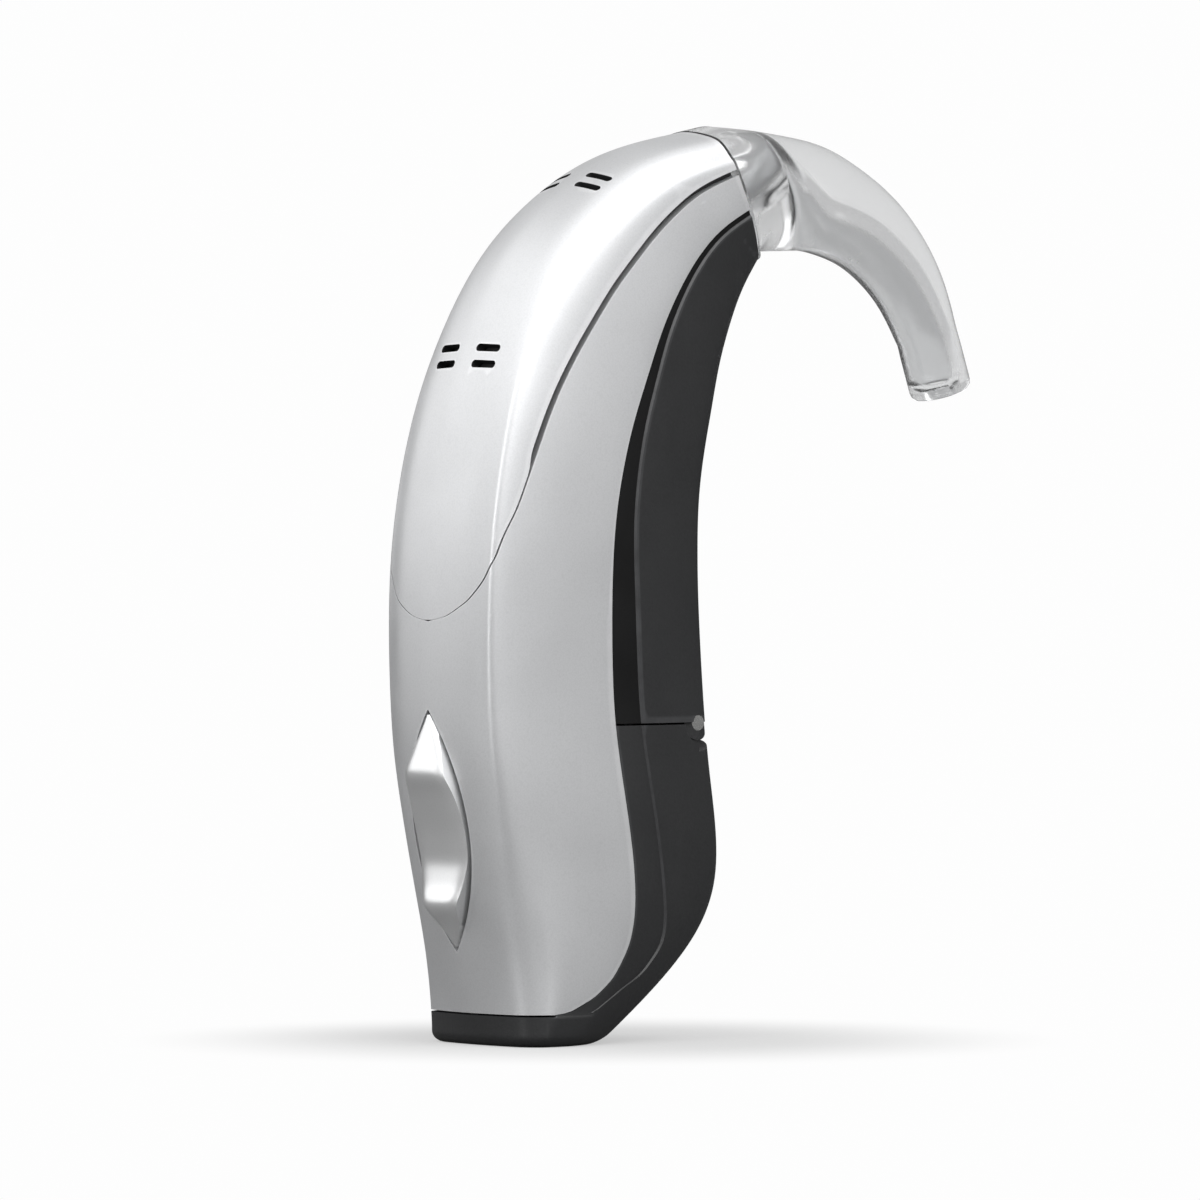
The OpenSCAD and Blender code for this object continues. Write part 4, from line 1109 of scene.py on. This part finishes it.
def ring_round(bm, centre, direction, radius, blend):
    """A circle of vertices across the hook; near the base it takes on the case's outline."""
    made = bmesh.ops.create_circle(bm, segments=96, radius=1)["verts"]
    for v in made:
        angle = math.atan2(v.co.y, v.co.x) % (2 * math.pi)
        p = ring_place(centre, direction, radius, angle)
        if blend:
            u = -angle / math.pi if angle < math.pi else 2 - angle / math.pi
            p += (on_case(1, u) - ring_place(end_mid, nozzle_dir, base_half, angle)) * blend
        v.co = Vector(p) * MM
    return list({e for v in made for e in v.link_edges})


print("hook starts at", hook_start.round(2), "and its tip at", hook_row(1)[0].round(2), "mm")

# %% Hook body
hook_steps, chamber_first_step = 54, 14
chamber_start_r, chamber_end_r, under_wall = 1.42, 1.10, 0.25
chamber_shift_start, chamber_shift_run = 0.2, 0.25
# How the bore widens into the chamber: distance from the tip's end, and share of the chamber's radius
bore_flare = ((0.5, 0.0), (0.62, 0.35), (0.80, 0.72), (1.05, 0.93), (1.35, 1.0), (2.0, 1.0))


def chamber_at(t):
    """Radius of the sound chamber, and how far it lies towards the hook's underside."""
    radius = chamber_start_r + (chamber_end_r - chamber_start_r) * t
    ease = min(max((t - chamber_shift_start) / chamber_shift_run, 0), 1)
    return radius, (hook_row(t)[1] - radius - under_wall) * ease * ease * (3 - 2 * ease)


def hook_rings():
    """Centre, direction, radius and blend of each ring, round the whole wall and back to the base."""
    for k in range(hook_steps + 1):
        t = k / hook_steps
        centre, radius = hook_row(t)
        yield centre, hook_dir(t), radius, max(1 - t / hook_blend_share, 0) ** 2
    start, tip_r, edge_r, bore = hook_row(1)[0], hook_tip_d / 2, hook_tip_edge_r, bore_d / 2
    straight = hook_tip_l - edge_r
    for run in (0.3, 0.65, 1.0):
        yield start + tip_dir * straight * run, tip_dir, tip_r, 0
    for b in (math.radians(30), math.radians(60), math.radians(90)):
        centre = start + tip_dir * (straight + edge_r * math.sin(b))
        yield centre, tip_dir, tip_r - edge_r * (1 - math.cos(b)), 0
    yield start + tip_dir * hook_tip_l, tip_dir, bore + bore_ease, 0
    yield start + tip_dir * (hook_tip_l - bore_ease), tip_dir, bore, 0
    chamber, shift = chamber_at(1)
    for run, share in bore_flare:
        centre = start + tip_dir * (hook_tip_l - run) - up_of(tip_dir) * shift * share
        yield centre, tip_dir, bore + (chamber - bore) * share, 0
    for k in range(hook_steps, chamber_first_step, -1):
        t = k / hook_steps
        radius, shift = chamber_at(t)
        yield hook_row(t)[0] - up_of(hook_dir(t)) * shift, hook_dir(t), radius, 0
    socket, socket_end = nozzle_d / 2 + nozzle_gap, hook_start + nozzle_dir * nozzle_l
    yield socket_end, nozzle_dir, chamber_start_r, 0
    yield socket_end - nozzle_dir * socket_ease, nozzle_dir, socket, 0
    yield hook_start, nozzle_dir, socket, 0


def hook_bm():
    bm = bmesh.new()
    rings = [ring_round(bm, *ring) for ring in hook_rings()]
    for a, b in zip(rings, rings[1:] + rings[:1]):
        bmesh.ops.bridge_loops(bm, edges=a + b)
    # The first rings tilt, so their underside would stand behind the base and catch as the hook turns
    ahead = Vector((nozzle_dir[0], 0, nozzle_dir[1]))
    base = Vector((hook_start[0], 0, hook_start[1])) * MM
    for v in bm.verts:
        v.co -= ahead * min((v.co - base).dot(ahead), 0)
    bmesh.ops.recalc_face_normals(bm, faces=bm.faces)
    return bm


# %% Clear finish and the hook
def clear_plastic(name, tint, roughness):
    """Clear plastic whose tint and surface flow a little, as mouldings do."""
    made, tree, shader = new_material(name, {"Transmission Weight": 1.0, "IOR": 1.49})
    touch = effect(tree, handling, Roughness=roughness, Clouds=0.02, Hairlines=0.10)
    flow = add(tree, "ShaderNodeTexNoise", {"Scale": 140.0, "Detail": 1.0}, {"Vector": on_piece(tree)})
    colours = two_tone(tree, flow.outputs["Fac"], tint, [c * 0.94 for c in tint])
    plug_in(tree, shader, colours, touch.outputs[0], flow.outputs["Fac"], 0.2, 0.01)
    return made


clear = clear_plastic("clear_plastic", (0.76, 0.765, 0.77), 0.16)
finished("clear_hook", hook_bm(), [clear], "hook", ["ear_hook"], smooth_deg=50)

# %% [markdown]
# ## Everything inside and between
# The pins, contacts, microphones and boards keep their own solids. Each gets the finish of its
# material in place of the working model's plain colour.

# %% Finishes of the inner pieces
def dress(finish, *nodes):
    for node in nodes:
        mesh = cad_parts[node].data
        mesh.materials.clear()
        mesh.materials.append(finish)
    print(finish.name, "on", ", ".join(nodes))


dress(surface("ground_steel", (0.62, 0.62, 0.61), (0.50, 0.50, 0.49), 0.22, metallic=1.0,
              grain_scale=6000.0, grain_mm=0.002), "door_hinge_pin", "rocker_pin", "dome_switches")
dress(surface("cell_steel", (0.66, 0.65, 0.62), (0.56, 0.55, 0.52), 0.30, metallic=1.0,
              grain_scale=3000.0, grain_mm=0.003, hairlines=0.12), "battery_cell")
dress(surface("gold_plate", (0.85, 0.62, 0.28), (0.72, 0.50, 0.20), 0.25, metallic=1.0,
              grain_scale=7000.0),
      "battery_contact_positive", "battery_contact_negative", "programming_pads")
dress(surface("frame_plastic", (0.52, 0.53, 0.50), (0.45, 0.46, 0.43), 0.5, grain_scale=5000.0),
      "rocker_bracket", "electronics_frame")
dress(surface("board_resist", (0.02, 0.16, 0.07), (0.01, 0.10, 0.04), 0.35, grain_scale=4000.0,
              mottle=0.9), "rocker_switch_board", "circuit_board")
dress(surface("microphone_can", (0.6, 0.6, 0.6), (0.48, 0.48, 0.48), 0.32, metallic=1.0),
      "front_microphone", "rear_microphone", "receiver")
dress(surface("soft_rubber", (0.03, 0.03, 0.032), (0.02, 0.02, 0.022), 0.65, grain_scale=6000.0),
      "front_microphone_sleeve", "rear_microphone_sleeve", "receiver_boot")
dress(surface("screen_mesh", (0.03, 0.03, 0.03), (0.004, 0.004, 0.004), 0.55, metallic=0.3,
              grain_scale=15000.0, mottle=1.0), "microphone_screens")
dress(surface("copper_wire", (0.70, 0.33, 0.18), (0.45, 0.18, 0.08), 0.35, metallic=1.0,
              grain_scale=12000.0, mottle=1.0), "telecoil")
dress(surface("chip_epoxy", (0.02, 0.02, 0.02), (0.012, 0.012, 0.012), 0.5), "processor_chip")
dress(surface("ceramic_parts", (0.55, 0.45, 0.32), (0.42, 0.33, 0.22), 0.45, grain_scale=8000.0),
      "board_components")
dress(clear_plastic("nozzle_plastic", (0.88, 0.885, 0.89), 0.35), "hook_nozzle")
dress(clear_plastic("clear_tube", (0.92, 0.92, 0.90), 0.12), "sound_tube")
